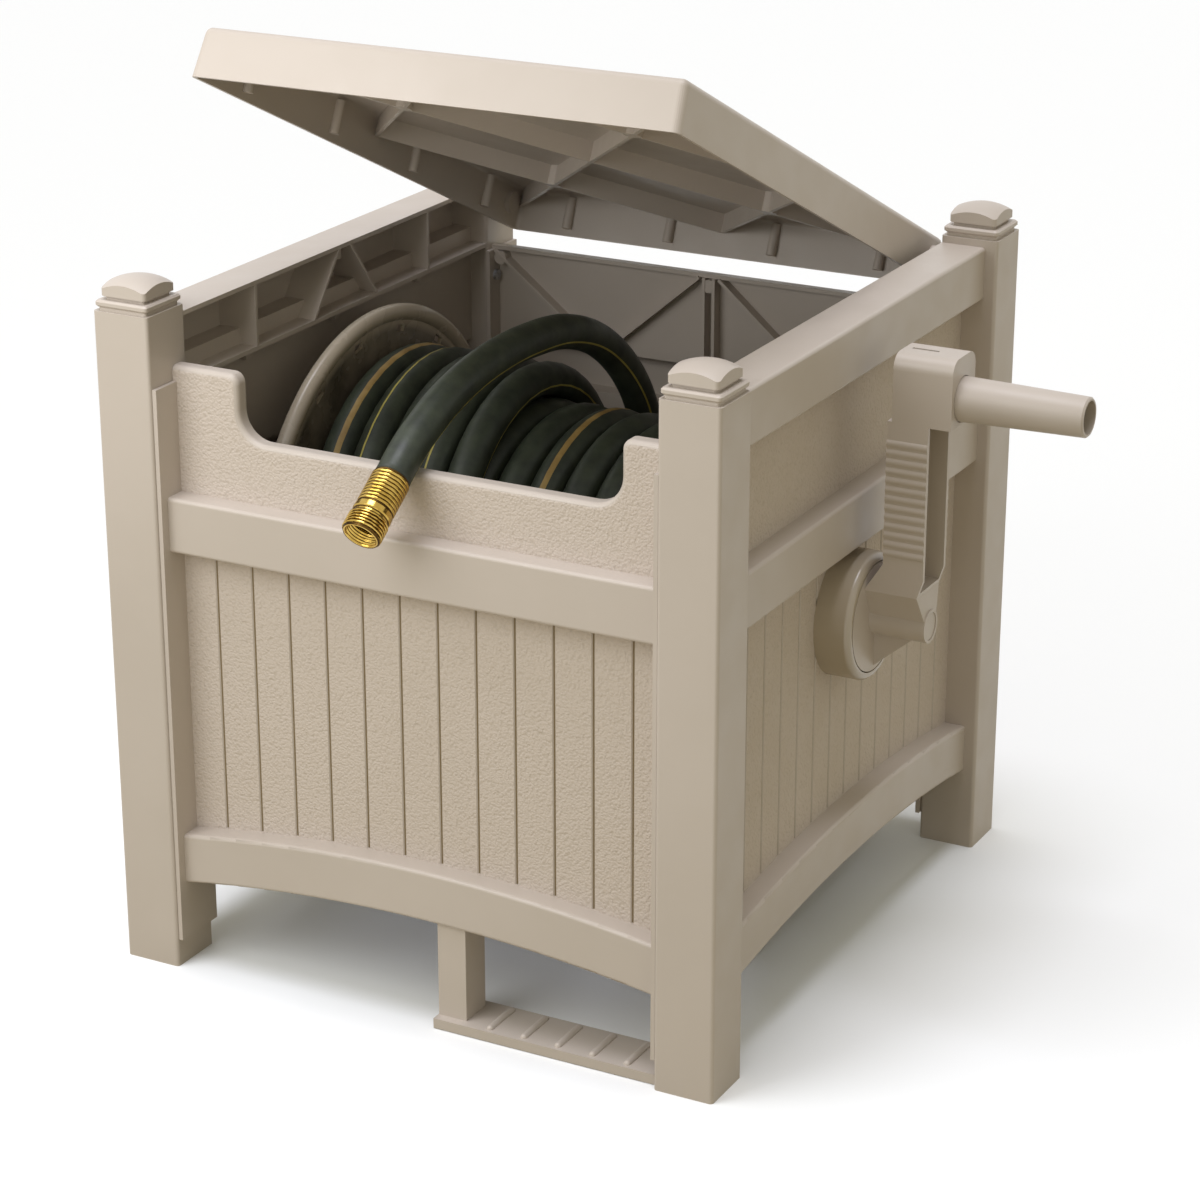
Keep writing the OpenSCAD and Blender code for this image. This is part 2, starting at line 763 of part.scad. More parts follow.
module post_cap(side_x, side_y) {
    plate_z = cap_step_h;
    pillow_z = plate_z + cap_plate_t + cap_neck_h;
    plug_w = post_hole - 2 * fit_gap;
    step_w = post_size - 2 * cap_step_set;
    plate_w = post_size - 2 * cap_set;
    corner = cap_pillow_w / sqrt(2);
    crown_r = (corner * corner + cap_crown * cap_crown) / (2 * cap_crown);
    place = [side_x * (half_w - post_size / 2), side_y * (half_d - post_size / 2), post_h];
    placed(taupe) translate(place) {
        translate([0, 0, -cap_plug_h]) linear_extrude(cap_plug_h + past) square(plug_w, center = true);
        linear_extrude(plate_z + past) rounded_square(step_w, step_w, 2);
        hull() {
            translate([0, 0, plate_z]) linear_extrude(cap_plate_t)
                rounded_square(plate_w - 2 * cap_bevel, plate_w - 2 * cap_bevel, 2);
            translate([0, 0, plate_z + cap_bevel]) linear_extrude(cap_plate_t - 2 * cap_bevel)
                rounded_square(plate_w, plate_w, 2.5);
        }
        linear_extrude(pillow_z + past) rounded_square(cap_neck_w, cap_neck_w, 2);
        intersection() {
            translate([0, 0, pillow_z]) linear_extrude(cap_pillow_h)
                rounded_square(cap_pillow_w, cap_pillow_w, 3);
            translate([0, 0, pillow_z + cap_pillow_h - crown_r]) sphere(r = crown_r, $fn = 2 * round_fn);
        }
    }
}

module crank_collar() on_reel(taupe) turned_x() {
    ring_section(collar_hole_r, collar_r, plank_x, collar_face_x - collar_round);
    ring_section(collar_hole_r, collar_r - collar_round, plank_x, collar_face_x);
    intersection() {
        translate([collar_r - collar_round, collar_face_x - collar_round])
            circle(r = collar_round, $fn = round_fn);
        ring_section(collar_hole_r, collar_r, plank_x, collar_face_x);
    }
    ring_section(bush_r, collar_r, plank_x, plank_x + wall);
    ring_section(bush_r, bush_out_r, bush_in_x, plank_x + 8);
}

module inlet_bushing() on_reel(taupe) mirror([1, 0, 0]) turned_x() {
    ring_section(bush_r, bush_out_r, bush_in_x, plank_x + past);
    ring_section(inlet_r + fit_gap, bushing_plate_r, plank_x, plank_x + bushing_plate_t - 2);
    ring_section(inlet_r + fit_gap, bushing_plate_r - 2, plank_x, plank_x + bushing_plate_t);
    translate([bushing_plate_r - 2, plank_x + bushing_plate_t - 2]) circle(r = 2, $fn = hull_fn);
}

module inlet_tube() on_reel(taupe) mirror([1, 0, 0]) difference() {
    union() {
        rod_x(tube_end_x, inlet_thread_x, inlet_r);
        rod_x(inlet_flange_x, inlet_thread_x, hose_thread_r + 3);
        rod_x(inlet_thread_x - past, inlet_thread_x + inlet_thread_l, hose_thread_r);
    }
    rod_x(tube_end_x - past, inlet_thread_x + inlet_thread_l + past, inlet_bore_r);
    for (x = seal_places)
        turned_x() ring_section(seal_mid_r - seal_r - run_gap, inlet_r + past, x - seal_r - run_gap,
            x + seal_r + run_gap);
}

module inlet_seals() on_reel(seal_black) mirror([1, 0, 0])
    for (x = seal_places)
        turned_x() translate([seal_mid_r, x]) circle(r = seal_r, $fn = hull_fn);

module foot_rest() {
    top = tread_lift + tread_t;
    leg_low = [leg_x, leg_y, tread_lift];
    leg_high = [leg_x + leg_w, leg_y + leg_d, leg_top_z];
    last_rib = post_in_x - tread_rib_end;
    rib_room = last_rib - leg_x - leg_w - 2 * tread_rib_h;
    placed(taupe) {
        block([tread_left, tread_y, tread_lift], [tread_end_x, tread_y + tread_d, top]);
        block([tread_end_x - past, tread_y + tongue_in, tongue_z],
            [post_in_x + tongue_l, tread_y + tread_d - tongue_in, tongue_z + tongue_t]);
        for (i = [0 : floor(rib_room / tread_rib_pitch)])
            translate([last_rib - i * tread_rib_pitch, 0, top]) tread_rib();
        difference() {
            block(leg_low, leg_high);
            block(leg_low + [wall, wall, tread_t], leg_high + [-wall, past, -wall]);
            on_foot_screw() rod_y(-wall - past, leg_d, screw_r + run_gap);
        }
    }
}

module tread_rib() {
    front = tread_y + 2 * tread_rib_h;
    back = tread_y + tread_d - 2 * tread_rib_h;
    rod_y(front, back, tread_rib_h);
    for (y = [front, back]) translate([0, y, 0]) sphere(r = tread_rib_h, $fn = round_fn);
}

module panel_screw() {
    rod_x(-screw_head_h, 0, screw_head_r);
    rod_x(-past, 2 * wall + 3, screw_r);
}

module panel_screws(side_y) placed(steel)
    for (side_x = [0, 1], z = screw_heights)
        mirror([side_x, 0, 0]) translate([front_span / 2 - wall, side_y * (plank_y - screw_y), z])
            panel_screw();

// Place of the screw through the leg, its head's seat at Y = 0
module on_foot_screw() translate([leg_x + leg_w / 2, leg_y + wall, leg_top_z - 10]) children();

module foot_rest_screw() placed(steel) on_foot_screw() {
    rod_y(0, screw_head_h, screw_head_r);
    rod_y(-wall - fit_gap - screw_bite, past, screw_r);
}

// Flange on the +X side as [radius, X], with its spindle up to end_x
module flange_profile(hole_r, end_x) {
    ring_section(hole_r, flange_r - rim_r, disc_in_x, disc_out_x);
    translate([flange_r - rim_r, disc_in_x + rim_r / 3]) circle(r = rim_r, $fn = round_fn);
    ring_section(spindle_bore_r, spindle_r, disc_in_x, end_x);
    ring_section(hole_r, spindle_r + 8, disc_in_x, disc_out_x + flange_rib_h);
}

module flange(hole_r, end_x) difference() {
    union() {
        turned_x() flange_profile(hole_r, end_x);
        for (i = [1 : flange_ribs])
            rotate([i * 360 / flange_ribs, 0, 0])
                block([disc_out_x - 0.5, spindle_r + 4, -rib_t / 2],
                    [disc_out_x + flange_rib_h, flange_r - rim_r - 2, rib_t / 2]);
    }
    for (i = [1 : flange_slots])
        rotate([(i - 0.5) * 360 / flange_slots, 0, 0]) translate([0, flange_r - slot_in, 0])
            block([disc_in_x - past, -slot_h / 2, -slot_l / 2],
                [disc_out_x + flange_rib_h + past, slot_h / 2, slot_l / 2]);
    drum_screw_places() rod_x(0, disc_out_x + flange_rib_h + past, screw_r + run_gap);
}

module left_flange() on_reel(reel_grey) mirror([1, 0, 0]) flange(elbow_r + fit_gap, stub_end_x);

module right_flange() on_reel(reel_grey) {
    flange(spindle_bore_r, spindle_end_x);
    turned_x() ring_section(crank_screw_r + run_gap, spindle_bore_r + 0.5, spindle_web_x,
        spindle_web_x + spindle_web_t);
}

module drum_screw_places() for (a = [45 : 90 : 315]) rotate([a, 0, 0]) translate([0, drum_boss_at, 0])
    children();

module drum() difference() {
    union() {
        turned_x() ring_section(drum_in_r, drum_r, -disc_in_x + fit_gap, disc_in_x - fit_gap);
        for (mirrored = [0, 1]) mirror([mirrored, 0, 0])
            drum_screw_places() rod_x(disc_in_x - drum_boss_l, disc_in_x - fit_gap, drum_boss_r);
    }
    drum_screw_places() rod_x(-disc_in_x, disc_in_x, screw_r + run_gap);
}

module upper_drum_half() on_reel(reel_grey) difference() {
    drum();
    block([-disc_in_x, -drum_r - past, -drum_r - past], [disc_in_x, drum_r + past, fit_gap / 2]);
    translate([outlet_x, 0, 0]) cylinder(h = drum_r + past, r = inner_coupling_r + 0.5, $fn = round_fn);
}

module lower_drum_half() on_reel(reel_grey) difference() {
    drum();
    block([-disc_in_x, -drum_r - past, -fit_gap / 2], [disc_in_x, drum_r + past, drum_r + past]);
}

module drum_screws() on_reel(steel)
    for (mirrored = [0, 1]) mirror([mirrored, 0, 0]) drum_screw_places() {
        rod_x(disc_out_x, disc_out_x + screw_head_h, screw_head_r);
        rod_x(disc_in_x - drum_boss_l + 4, disc_out_x + past, screw_r);
    }

module outlet_elbow() on_reel(taupe) difference() {
    union() {
        mirror([1, 0, 0]) {
            rod_x(elbow_in_x, elbow_out_x, elbow_r);
            rod_x(disc_in_x - fit_gap - wall, disc_in_x - fit_gap, elbow_collar_r);
        }
        translate([outlet_x, 0, 0]) cylinder(h = outlet_top, r = outlet_r, $fn = round_fn);
    }
    mirror([1, 0, 0]) {
        rod_x(tube_end_x - move_gap, elbow_out_x + past, elbow_bore_r);
        rod_x(elbow_in_x + wall, tube_end_x, elbow_cavity_r);
    }
    translate([outlet_x, 0, 0]) cylinder(h = outlet_top + past, r = outlet_r - wall, $fn = round_fn);
}

module inner_coupling() on_reel(brass) translate([outlet_x, 0, outlet_top - outlet_lap]) difference() {
    cylinder(h = inner_coupling_l, r = inner_coupling_r, $fn = round_fn);
    translate([0, 0, -past])
        cylinder(h = outlet_lap + past + fit_gap, r = outlet_r + run_gap, $fn = round_fn);
    cylinder(h = inner_coupling_l + past, r = coupling_bore_r, $fn = round_fn);
}

module hose_core() on_reel(hose_green) turned_x()
    ring_section(drum_r + fit_gap, core_r, -disc_in_x + core_gap, disc_in_x - core_gap);

// Centre of the winding as [X, radius] after turning through t degrees
function winding_place(t) =
    t <= lower_turned ? [winding_end_x - turn_pitch * t / 360, low_layer_r]
    : t <= upper_from ? [-winding_end_x, low_layer_r + layer_step * (t - lower_turned) / climb_turned]
    : t <= shift_from ? [-winding_end_x + turn_pitch * (t - upper_from) / 360, top_layer_r]
    : [shift_from_x + (lead_x - shift_from_x) * (t - shift_from) / shift_turned, top_layer_r];

// Ring of the winding as [X, radius], one corner towards each side
function winding_ring(t) = [for (i = [0 : winding_sides - 1])
    winding_place(t) + hose_d / 2 * [cos(i * 360 / winding_sides), sin(i * 360 / winding_sides)]];

// The winding ends at angle 0, behind the axis, where it runs straight up for one diameter
function on_turn(ring, angle, ahead) = [for (p = ring)
    [p[0], p[1] * cos(angle) - ahead * sin(angle), p[1] * sin(angle) + ahead * cos(angle)]];

winding_angles = [for (t = [0 : ring_step : turned]) t];
winding_flat = [for (t = winding_angles) winding_ring(t)];
winding_rings = concat(
    [on_turn(winding_flat[0], -turned, -hose_d)],
    [for (i = [0 : len(winding_angles) - 1]) on_turn(winding_flat[i], winding_angles[i] - turned, 0)],
    [on_turn(winding_flat[len(winding_flat) - 1], 0, hose_d)]);

function segment_gap(p, a, b) =
    let (along = max(0, min(1, (p - a) * (b - a) / ((b - a) * (b - a))))) norm(p - a - along * (b - a));

function ring_gap(first, second) = min([for (p = first, i = [0 : winding_sides - 1])
    segment_gap(p, second[i], second[(i + 1) % winding_sides])]);

rings_a_turn = 360 / ring_step;
last_ring = len(winding_flat) - 1;
winding_gap = min([for (i = [0 : last_ring], j = [i + rings_a_turn : rings_a_turn : last_ring])
    ring_gap(winding_flat[i], winding_flat[j])]);
echo(least_gap_between_turns = winding_gap, turns = turned / 360);

// Closed tube from rings of equal numbers of points
module tube(rings) {
    sides = len(rings[0]);
    last = len(rings) - 1;
    points = [for (ring = rings, p = ring) p];
    skin = [for (i = [0 : last - 1], j = [0 : sides - 1])
        let (a = i * sides + j, b = i * sides + (j + 1) % sides)
            each [[a, b, b + sides], [a, b + sides, a + sides]]];
    first_cap = [for (j = [1 : sides - 2]) [0, j + 1, j]];
    last_cap = [for (j = [1 : sides - 2]) [last * sides, last * sides + j, last * sides + j + 1]];
    polyhedron(points, concat(skin, first_cap, last_cap));
}

module hose_winding() on_reel(hose_green) tube(winding_rings);

// Ring of the lead, square to the way from the point before to the point after. The first lies flat
// on the winding's end.
function lead_ring(i) =
    let (before = lead_route[max(i - 1, 0)],
        after = lead_route[min(i + 1, len(lead_route) - 1)],
        ahead = i == 0 ? [0, 1] : i == len(lead_route) - 2 ? lead_end - lead_before : after - before,
        way = ahead / norm(ahead))
    [for (j = [0 : lead_sides - 1])
        let (a = j * 360 / lead_sides)
            [lead_x + hose_d / 2 * cos(a), lead_route[i][0] + hose_d / 2 * sin(a) * way[1],
                lead_route[i][1] - hose_d / 2 * sin(a) * way[0]]];

module hose_lead() placed(hose_green) tube([for (i = [0 : len(lead_route) - 1]) lead_ring(i)]);

module on_coupling(tint) placed(tint) translate([lead_x, lead_end[0], lead_end[1]])
    rotate([90 + coupling_tilt, 0, 0]) children();

module coupling_ferrule() on_coupling(brass) difference() {
    union() {
        cylinder(h = ferrule_l, r = ferrule_r, $fn = round_fn);
        for (i = [1 : ferrule_ridges])
            translate([0, 0, i * ferrule_l / (ferrule_ridges + 1)])
                rotate_extrude($fn = round_fn) translate([ferrule_r - 0.2, 0])
                    circle(r = 0.8, $fn = hull_fn);
    }
    translate([0, 0, -past]) cylinder(h = ferrule_l + 2 * past, r = coupling_bore_r, $fn = round_fn);
}

module coupling_fitting() on_coupling(brass) translate([0, 0, ferrule_l]) difference() {
    union() {
        cylinder(h = fitting_l, r = hose_thread_r - 1.6, $fn = round_fn);
        cylinder(h = fitting_l - fitting_thread_l - 2, r = hose_thread_r - 0.4, $fn = round_fn);
        translate([0, 0, fitting_l - fitting_thread_l])
            cylinder(h = fitting_thread_l, r = hose_thread_r, $fn = round_fn);
    }
    translate([0, 0, -past]) cylinder(h = fitting_l + 2 * past, r = coupling_bore_r, $fn = round_fn);
}

// Upright bar of the crank between two heights
module arm_bar(inset, x0, x1, z0, z1) block([x0, -arm_w / 2 + inset, z0], [x1, arm_w / 2 - inset, z1]);

// Foot of the arm: its back slopes out to the disc, and below that its sides close in on the boss
module arm_foot() difference() {
    union() {
        translate([0, arm_w / 2, 0]) rotate([90, 0, 0]) linear_extrude(arm_w)
            polygon([[arm_x, arm_foot_z + past], [arm_x, arm_foot_z], [collar_face_x - past, arm_step_z],
                [arm_front_x - arm_notch, arm_step_z], [arm_front_x, arm_step_z + 3 * arm_notch],
                [arm_front_x, arm_foot_z + past]]);
        hull() {
            arm_bar(0, collar_face_x - past, arm_front_x - arm_notch, arm_step_z, arm_step_z + past);
            arm_bar(arm_w / 2 - boss_seat_w, collar_face_x - past, boss_end_x - 0.5,
                axis_z + boss_seat_h - past, axis_z + boss_seat_h);
        }
    }
    arm_bar(arm_wall, arm_x + arm_wall, arm_front_x + past, arm_step_z + arm_wall, arm_foot_z + 2 * past);
    translate([0, 0, axis_z]) rod_x(collar_face_x - 2 * past, boss_end_x + past, boss_r - 1);
}

// Rounded ribs across both sides of the arm
module arm_ribs() {
    half_chord = arm_rib_pitch * 0.4;
    r = (half_chord * half_chord + arm_rib_h * arm_rib_h) / (2 * arm_rib_h);
    count = floor(arm_ribbed_h / arm_rib_pitch);
    for (side = [0, 1]) mirror([0, side, 0]) intersection() {
        for (i = [0 : count])
            translate([0, arm_w / 2 + arm_rib_h - r, block_z - 14 - i * arm_rib_pitch])
                rod_x(arm_x, arm_front_x, r);
        block([arm_x, arm_w / 2 - 1, axis_z], [arm_front_x, arm_w, block_z]);
    }
}

module grip_block() difference() {
    translate([block_x, 0, 0]) rotate([90, 0, 90]) linear_extrude(block_d) {
        translate([-arm_w / 2, block_z]) square([arm_w, block_h - block_round]);
        translate([-arm_w / 2 + block_round, block_z]) square([arm_w - 2 * block_round, block_h]);
        for (side = [-1, 1])
            translate([side * (arm_w / 2 - block_round), block_top_z - block_round])
                circle(r = block_round, $fn = round_fn);
    }
    block([block_x + 5, -1.25, block_top_z - 6], [block_x + 23.5, 1.25, block_top_z + past]);
    translate([0, 0, grip_z]) {
        rod_x(block_face_x - grip_seat, block_face_x + past, grip_root_r + move_gap);
        rod_x(pin_in_x, block_face_x, pin_r + run_gap);
    }
}

module crank_disc() difference() {
    turned_x() {
        ring_section(crank_screw_r + run_gap, crank_disc_r, collar_face_x - crank_plate_t, collar_face_x);
        ring_section(crank_disc_r - wall, crank_disc_r, plank_x + wall + 2 * move_gap, collar_face_x);
        ring_section(crank_screw_r + run_gap, spindle_bore_r - fit_gap, plug_in_x, collar_face_x);
        ring_section(crank_screw_r + run_gap, boss_r, collar_face_x - past, boss_end_x);
    }
    rod_x(boss_end_x - crank_head_h - 0.6, boss_end_x + past, crank_head_r + fit_gap);
}

// Web from the disc's lower edge to the underside of the boss
module crank_web() translate([0, arm_wall / 2, 0]) rotate([90, 0, 0]) linear_extrude(arm_wall)
    polygon([[collar_face_x - past, -crank_disc_r + 3], [collar_face_x, -crank_disc_r + 3],
        [boss_end_x - 11, -boss_r + 1], [collar_face_x - past, -boss_r + 1]]);

module crank_arm() placed(taupe) {
    translate([0, 0, axis_z]) {
        crank_disc();
        crank_web();
    }
    arm_foot();
    difference() {
        arm_bar(0, arm_x, arm_front_x, arm_foot_z, block_z + past);
        arm_bar(arm_wall, arm_x + arm_wall, arm_front_x + past, arm_foot_z - past, block_z);
    }
    arm_ribs();
    grip_block();
}

module crank_screw() on_reel(steel) {
    rod_x(spindle_web_x, boss_end_x - crank_head_h, crank_screw_r);
    rod_x(boss_end_x - crank_head_h - 0.6, boss_end_x - 0.6, crank_head_r);
}

module grip_pin() placed(steel) translate([0, 0, grip_z]) {
    rod_x(pin_in_x, grip_x + grip_floor_t + run_gap * 2 + past, pin_r);
    rod_x(grip_x + grip_floor_t + move_gap, grip_x + grip_floor_t + move_gap + pin_head_h,
        grip_bore_r - move_gap);
}

module grip_sleeve() placed(taupe) translate([0, 0, grip_z]) turned_x() difference() {
    polygon([[0, grip_x], [grip_root_r, grip_x], [grip_root_r, block_face_x],
        [grip_end_r, grip_end_x - 1], [grip_end_r - 1, grip_end_x], [0, grip_end_x]]);
    ring_section(0, pin_r + run_gap, grip_x - past, grip_end_x);
    ring_section(0, grip_bore_r, grip_x + grip_floor_t, grip_end_x + past);
}

// Rounded box with leaning sides, the lid's outside or its hollow
module lid_form(inset, low, high, r) hull()
    for (sx = [-1, 1], sy = [-1, 1]) {
        x = lid_w / 2 - inset - r;
        y = (lid_rear_y - lid_front_y) / 2 - inset - r;
        translate([sx * x, lid_mid_y + sy * y, low]) cylinder(h = 0.1, r = r, $fn = hull_fn);
        translate([sx * (x - lid_draft), lid_mid_y + sy * (y - lid_draft), high - r])
            sphere(r = r, $fn = hull_fn);
    }

module lid_rib(from, to) {
    way = to - from;
    translate([from[0], lid_mid_y + from[1], lid_top_z - lid_wall - lid_rib_d])
        rotate(atan2(way[1], way[0])) translate([0, -rib_t / 2, 0])
            cube([norm(way), rib_t, lid_rib_d + past]);
}

module lid_inside() {
    x = lid_in_x - lid_draft;
    y = lid_in_y - lid_draft;
    for (sx = [-1, 1], sy = [-1, 1]) {
        lid_rib([0, 0], [sx * x, sy * y]);
        lid_rib([sx * x, 0], [0, sy * y]);
        translate([sx * x / 2, lid_mid_y + sy * y / 2, lid_top_z - lid_wall - lid_rib_d])
            cylinder(h = lid_rib_d + past, r = 6, $fn = round_fn);
    }
    for (side = [-1, 1], at = [-0.75, -0.25, 0.25, 0.75]) {
        translate([at * x, lid_mid_y + side * (y - 1), lid_z + 5]) skirt_buttress();
        translate([side * (x - 1), lid_mid_y + at * y, lid_z + 5]) skirt_buttress();
    }
}

module skirt_buttress() cylinder(h = lid_h - lid_round - 5, r = 3.5, $fn = hull_fn);

module closed_lid() {
    difference() {
        lid_form(0, lid_z, lid_top_z, lid_round);
        lid_form(lid_wall, lid_z - past, lid_top_z - lid_wall, lid_round - lid_wall + 1);
    }
    lid_inside();
    for (side = [0, 1]) mirror([side, 0, 0]) translate([0, hinge_y, hinge_z]) {
        rod_x(lid_in_x - lid_draft - 3, post_in_x - move_gap, socket_r);
        rod_x(lid_in_x, post_in_x + trunnion_l, trunnion_r);
    }
}

module lid_shell() placed(taupe) translate([0, hinge_y, hinge_z]) rotate([-lid_open, 0, 0])
    translate([0, -hinge_y, -hinge_z]) closed_lid();

left_side_panel();
right_side_panel();
front_panel();
rear_panel();
post_cap(-1, -1);  // front_left_cap
post_cap(1, -1);  // front_right_cap
post_cap(-1, 1);  // rear_left_cap
post_cap(1, 1);  // rear_right_cap
crank_collar();
inlet_bushing();
inlet_tube();
inlet_seals();
foot_rest();
panel_screws(-1);  // front_panel_screws
panel_screws(1);  // rear_panel_screws
foot_rest_screw();
left_flange();
right_flange();
upper_drum_half();
lower_drum_half();
drum_screws();
outlet_elbow();
inner_coupling();
hose_core();
hose_winding();
crank_arm();
crank_screw();
grip_pin();
grip_sleeve();
lid_shell();
hose_lead();
coupling_ferrule();
coupling_fitting();
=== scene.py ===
"""Cabinet hose reel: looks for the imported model. Metres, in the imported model's own axes."""
import json
import math

import bmesh
import bpy
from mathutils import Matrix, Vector


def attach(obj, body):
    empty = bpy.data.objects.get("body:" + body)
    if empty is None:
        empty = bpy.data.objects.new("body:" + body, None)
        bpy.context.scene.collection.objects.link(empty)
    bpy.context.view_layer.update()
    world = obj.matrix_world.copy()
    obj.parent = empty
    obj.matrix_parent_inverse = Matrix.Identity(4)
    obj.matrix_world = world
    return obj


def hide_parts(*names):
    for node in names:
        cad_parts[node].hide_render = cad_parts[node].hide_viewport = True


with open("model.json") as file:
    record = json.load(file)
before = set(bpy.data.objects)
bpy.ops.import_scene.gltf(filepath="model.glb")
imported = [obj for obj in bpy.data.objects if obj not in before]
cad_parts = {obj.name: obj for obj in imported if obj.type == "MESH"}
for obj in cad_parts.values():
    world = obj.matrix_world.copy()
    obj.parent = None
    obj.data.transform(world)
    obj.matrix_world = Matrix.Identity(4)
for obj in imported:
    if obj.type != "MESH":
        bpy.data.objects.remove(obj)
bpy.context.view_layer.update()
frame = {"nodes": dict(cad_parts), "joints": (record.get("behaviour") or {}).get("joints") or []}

MM = 0.001

# The reel's axis lies along X and passes through the cabinet's middle
JOINT_PLACES = {joint["name"]: joint["pos_m"] for joint in frame["joints"]}
CAB_X, CAB_Y, AXIS_Z = JOINT_PLACES["reel_spin"]


def add_object(name, data):
    """Puts a mesh, light or camera into the scene."""
    obj = bpy.data.objects.new(name, data)
    bpy.context.scene.collection.objects.link(obj)
    return obj


# Camera: its place, and its turn round from the front and down from level in degrees
CAMERA_PLACE = (0.9617, -1.9087, 1.0430)
CAMERA_ROUND = 28.0
CAMERA_DOWN = 20.72


def make_camera():
    data = bpy.data.cameras.new("camera")
    data.sensor_width = 36.0
    data.lens = 99.7
    data.clip_start = 0.1
    data.clip_end = 50.0
    cam = add_object("camera", data)
    cam.location = CAMERA_PLACE
    cam.rotation_euler = (math.radians(90 - CAMERA_DOWN), 0.0, math.radians(CAMERA_ROUND))
    bpy.context.scene.camera = cam


make_camera()


# Meshes
def mesh_from(name, points, faces):
    mesh = bpy.data.meshes.new(name)
    mesh.from_pydata(points, [], faces)
    mesh.validate()
    for poly in mesh.polygons:
        poly.use_smooth = True
    mesh.update()
    return add_object(name, mesh)


def face_outwards(mesh, sharp_angle=180.0):
    """Turns the faces outwards. Edges that turn by more than sharp_angle degrees become sharp."""
    form = bmesh.new()
    form.from_mesh(mesh)
    bmesh.ops.recalc_face_normals(form, faces=form.faces)
    for edge in form.edges:
        if len(edge.link_faces) == 2 and edge.calc_face_angle(0.0) > math.radians(sharp_angle):
            edge.smooth = False
    form.to_mesh(mesh)
    form.free()


def smoothstep(x):
    x = min(1.0, max(0.0, x))
    return x * x * (3 - 2 * x)


# The hose: its radius, and how far it goes straight on past each end of the winding
HOSE_R = 12 * MM
STUB = 2 * HOSE_R

# Its skin: the stripes' edges and the columns of points, in degrees round the hose from the middle
# of the wide stripe
WIDE_STRIPE, THIN_STRIPE = 1, 2
STRIPE_EDGES = {WIDE_STRIPE: (-10, 10), THIN_STRIPE: (127, 133.5)}
COLUMNS = [-10, 0, 10, 21, 33, 45, 57, 69, 81, 93, 105, 116, 127, 133.5, 144, 155, 167, 179, 191,
           203, 215, 227, 239, 251, 263, 275, 287, 299, 311, 323, 335]


def stripe_after(column):
    """The stripe that the skin from this column to the next one has, or 0 for none."""
    for stripe, (low, high) in STRIPE_EDGES.items():
        if low <= column < high:
            return stripe
    return 0


def tube(name, rings):
    """Hose with closed ends, from rings that have a point for each column."""
    sides = len(COLUMNS)
    last = (len(rings) - 1) * sides
    faces, stripes = [], []
    for start in range(0, last, sides):
        for j, column in enumerate(COLUMNS):
            a, b = start + j, start + (j + 1) % sides
            faces.append((a, b, b + sides, a + sides))
            stripes.append(stripe_after(column))
    faces += [tuple(reversed(range(sides))), tuple(range(last, last + sides))]
    stripes += [0, 0]
    obj = mesh_from(name, [point for ring in rings for point in ring], faces)
    face_outwards(obj.data)
    obj.data.polygons.foreach_set("material_index", stripes)
    return obj


# The winding, as in the CAD: degrees turned in the lower layer, the climb, the upper layer and the
# shift to the free end's place, and degrees between rings
LOWER_TURNED = 4215
CLIMB_TURNED = 90
UPPER_TURNED = 1650
SHIFT_TURNED = 150
UPPER_FROM = LOWER_TURNED + CLIMB_TURNED
SHIFT_FROM = UPPER_FROM + UPPER_TURNED
TURNED = SHIFT_FROM + SHIFT_TURNED
RING_STEP = 7.5

# Its pitch, its layers' distances from the axis, where each layer ends along the drum from its
# middle, and the plane of the free end
PITCH = 24.7 * MM
LAYER_STEP = 24.5 * MM
TOP_R = 123 * MM
LOW_R = TOP_R - LAYER_STEP
END_X = PITCH * LOWER_TURNED / 360 / 2
SHIFT_X = -END_X + PITCH * UPPER_TURNED / 360
LEAD_X = CAB_X - 6 * MM

# Turns wound so far, and the direction of the wide stripe there: 0 is +X and 90 outwards
STRIPE_TURN = [(0, 200), (4.29, 200), (5.29, 80), (6.29, 200), (11.3, 200), (12.29, 72),
               (13.29, -33), (14.29, -160), (15.29, -40), (16.29, -150), (17, -160)]
LEAD_STRIPE = STRIPE_TURN[-1][1]


def stripe_direction(turns):
    for (t0, a0), (t1, a1) in zip(STRIPE_TURN, STRIPE_TURN[1:]):
        if turns <= t1:
            return a0 + (a1 - a0) * smoothstep((turns - t0) / (t1 - t0))
    return LEAD_STRIPE


def winding_place(turned):
    """Place along the drum and distance from the axis, so many degrees from the hose's inner end."""
    if turned <= LOWER_TURNED:
        return END_X - PITCH * turned / 360, LOW_R
    if turned <= UPPER_FROM:
        climbed = smoothstep((turned - LOWER_TURNED) / CLIMB_TURNED)
        return -END_X, LOW_R + LAYER_STEP * climbed
    if turned <= SHIFT_FROM:
        return -END_X + PITCH * (turned - UPPER_FROM) / 360, TOP_R
    shifted = smoothstep((turned - SHIFT_FROM) / SHIFT_TURNED)
    return SHIFT_X + (LEAD_X - CAB_X - SHIFT_X) * shifted, TOP_R


def winding_ring(turned, ahead=0.0):
    """Ring round the wound hose, or so far straight ahead of that place."""
    x, r = winding_place(turned)
    turn = math.radians(turned - TURNED)
    ring = []
    for column in COLUMNS:
        a = math.radians(column + stripe_direction(turned / 360))
        out = r + HOSE_R * math.sin(a)
        ring.append((CAB_X + x + HOSE_R * math.cos(a),
                     CAB_Y + out * math.cos(turn) - ahead * math.sin(turn),
                     AXIS_Z + out * math.sin(turn) + ahead * math.cos(turn)))
    return ring


def make_winding():
    steps = int(TURNED / RING_STEP)
    rings = [winding_ring(0, -STUB)]
    rings += [winding_ring(i * TURNED / steps) for i in range(steps + 1)]
    rings.append(winding_ring(TURNED, STUB))
    return tube("wound_hose", rings)


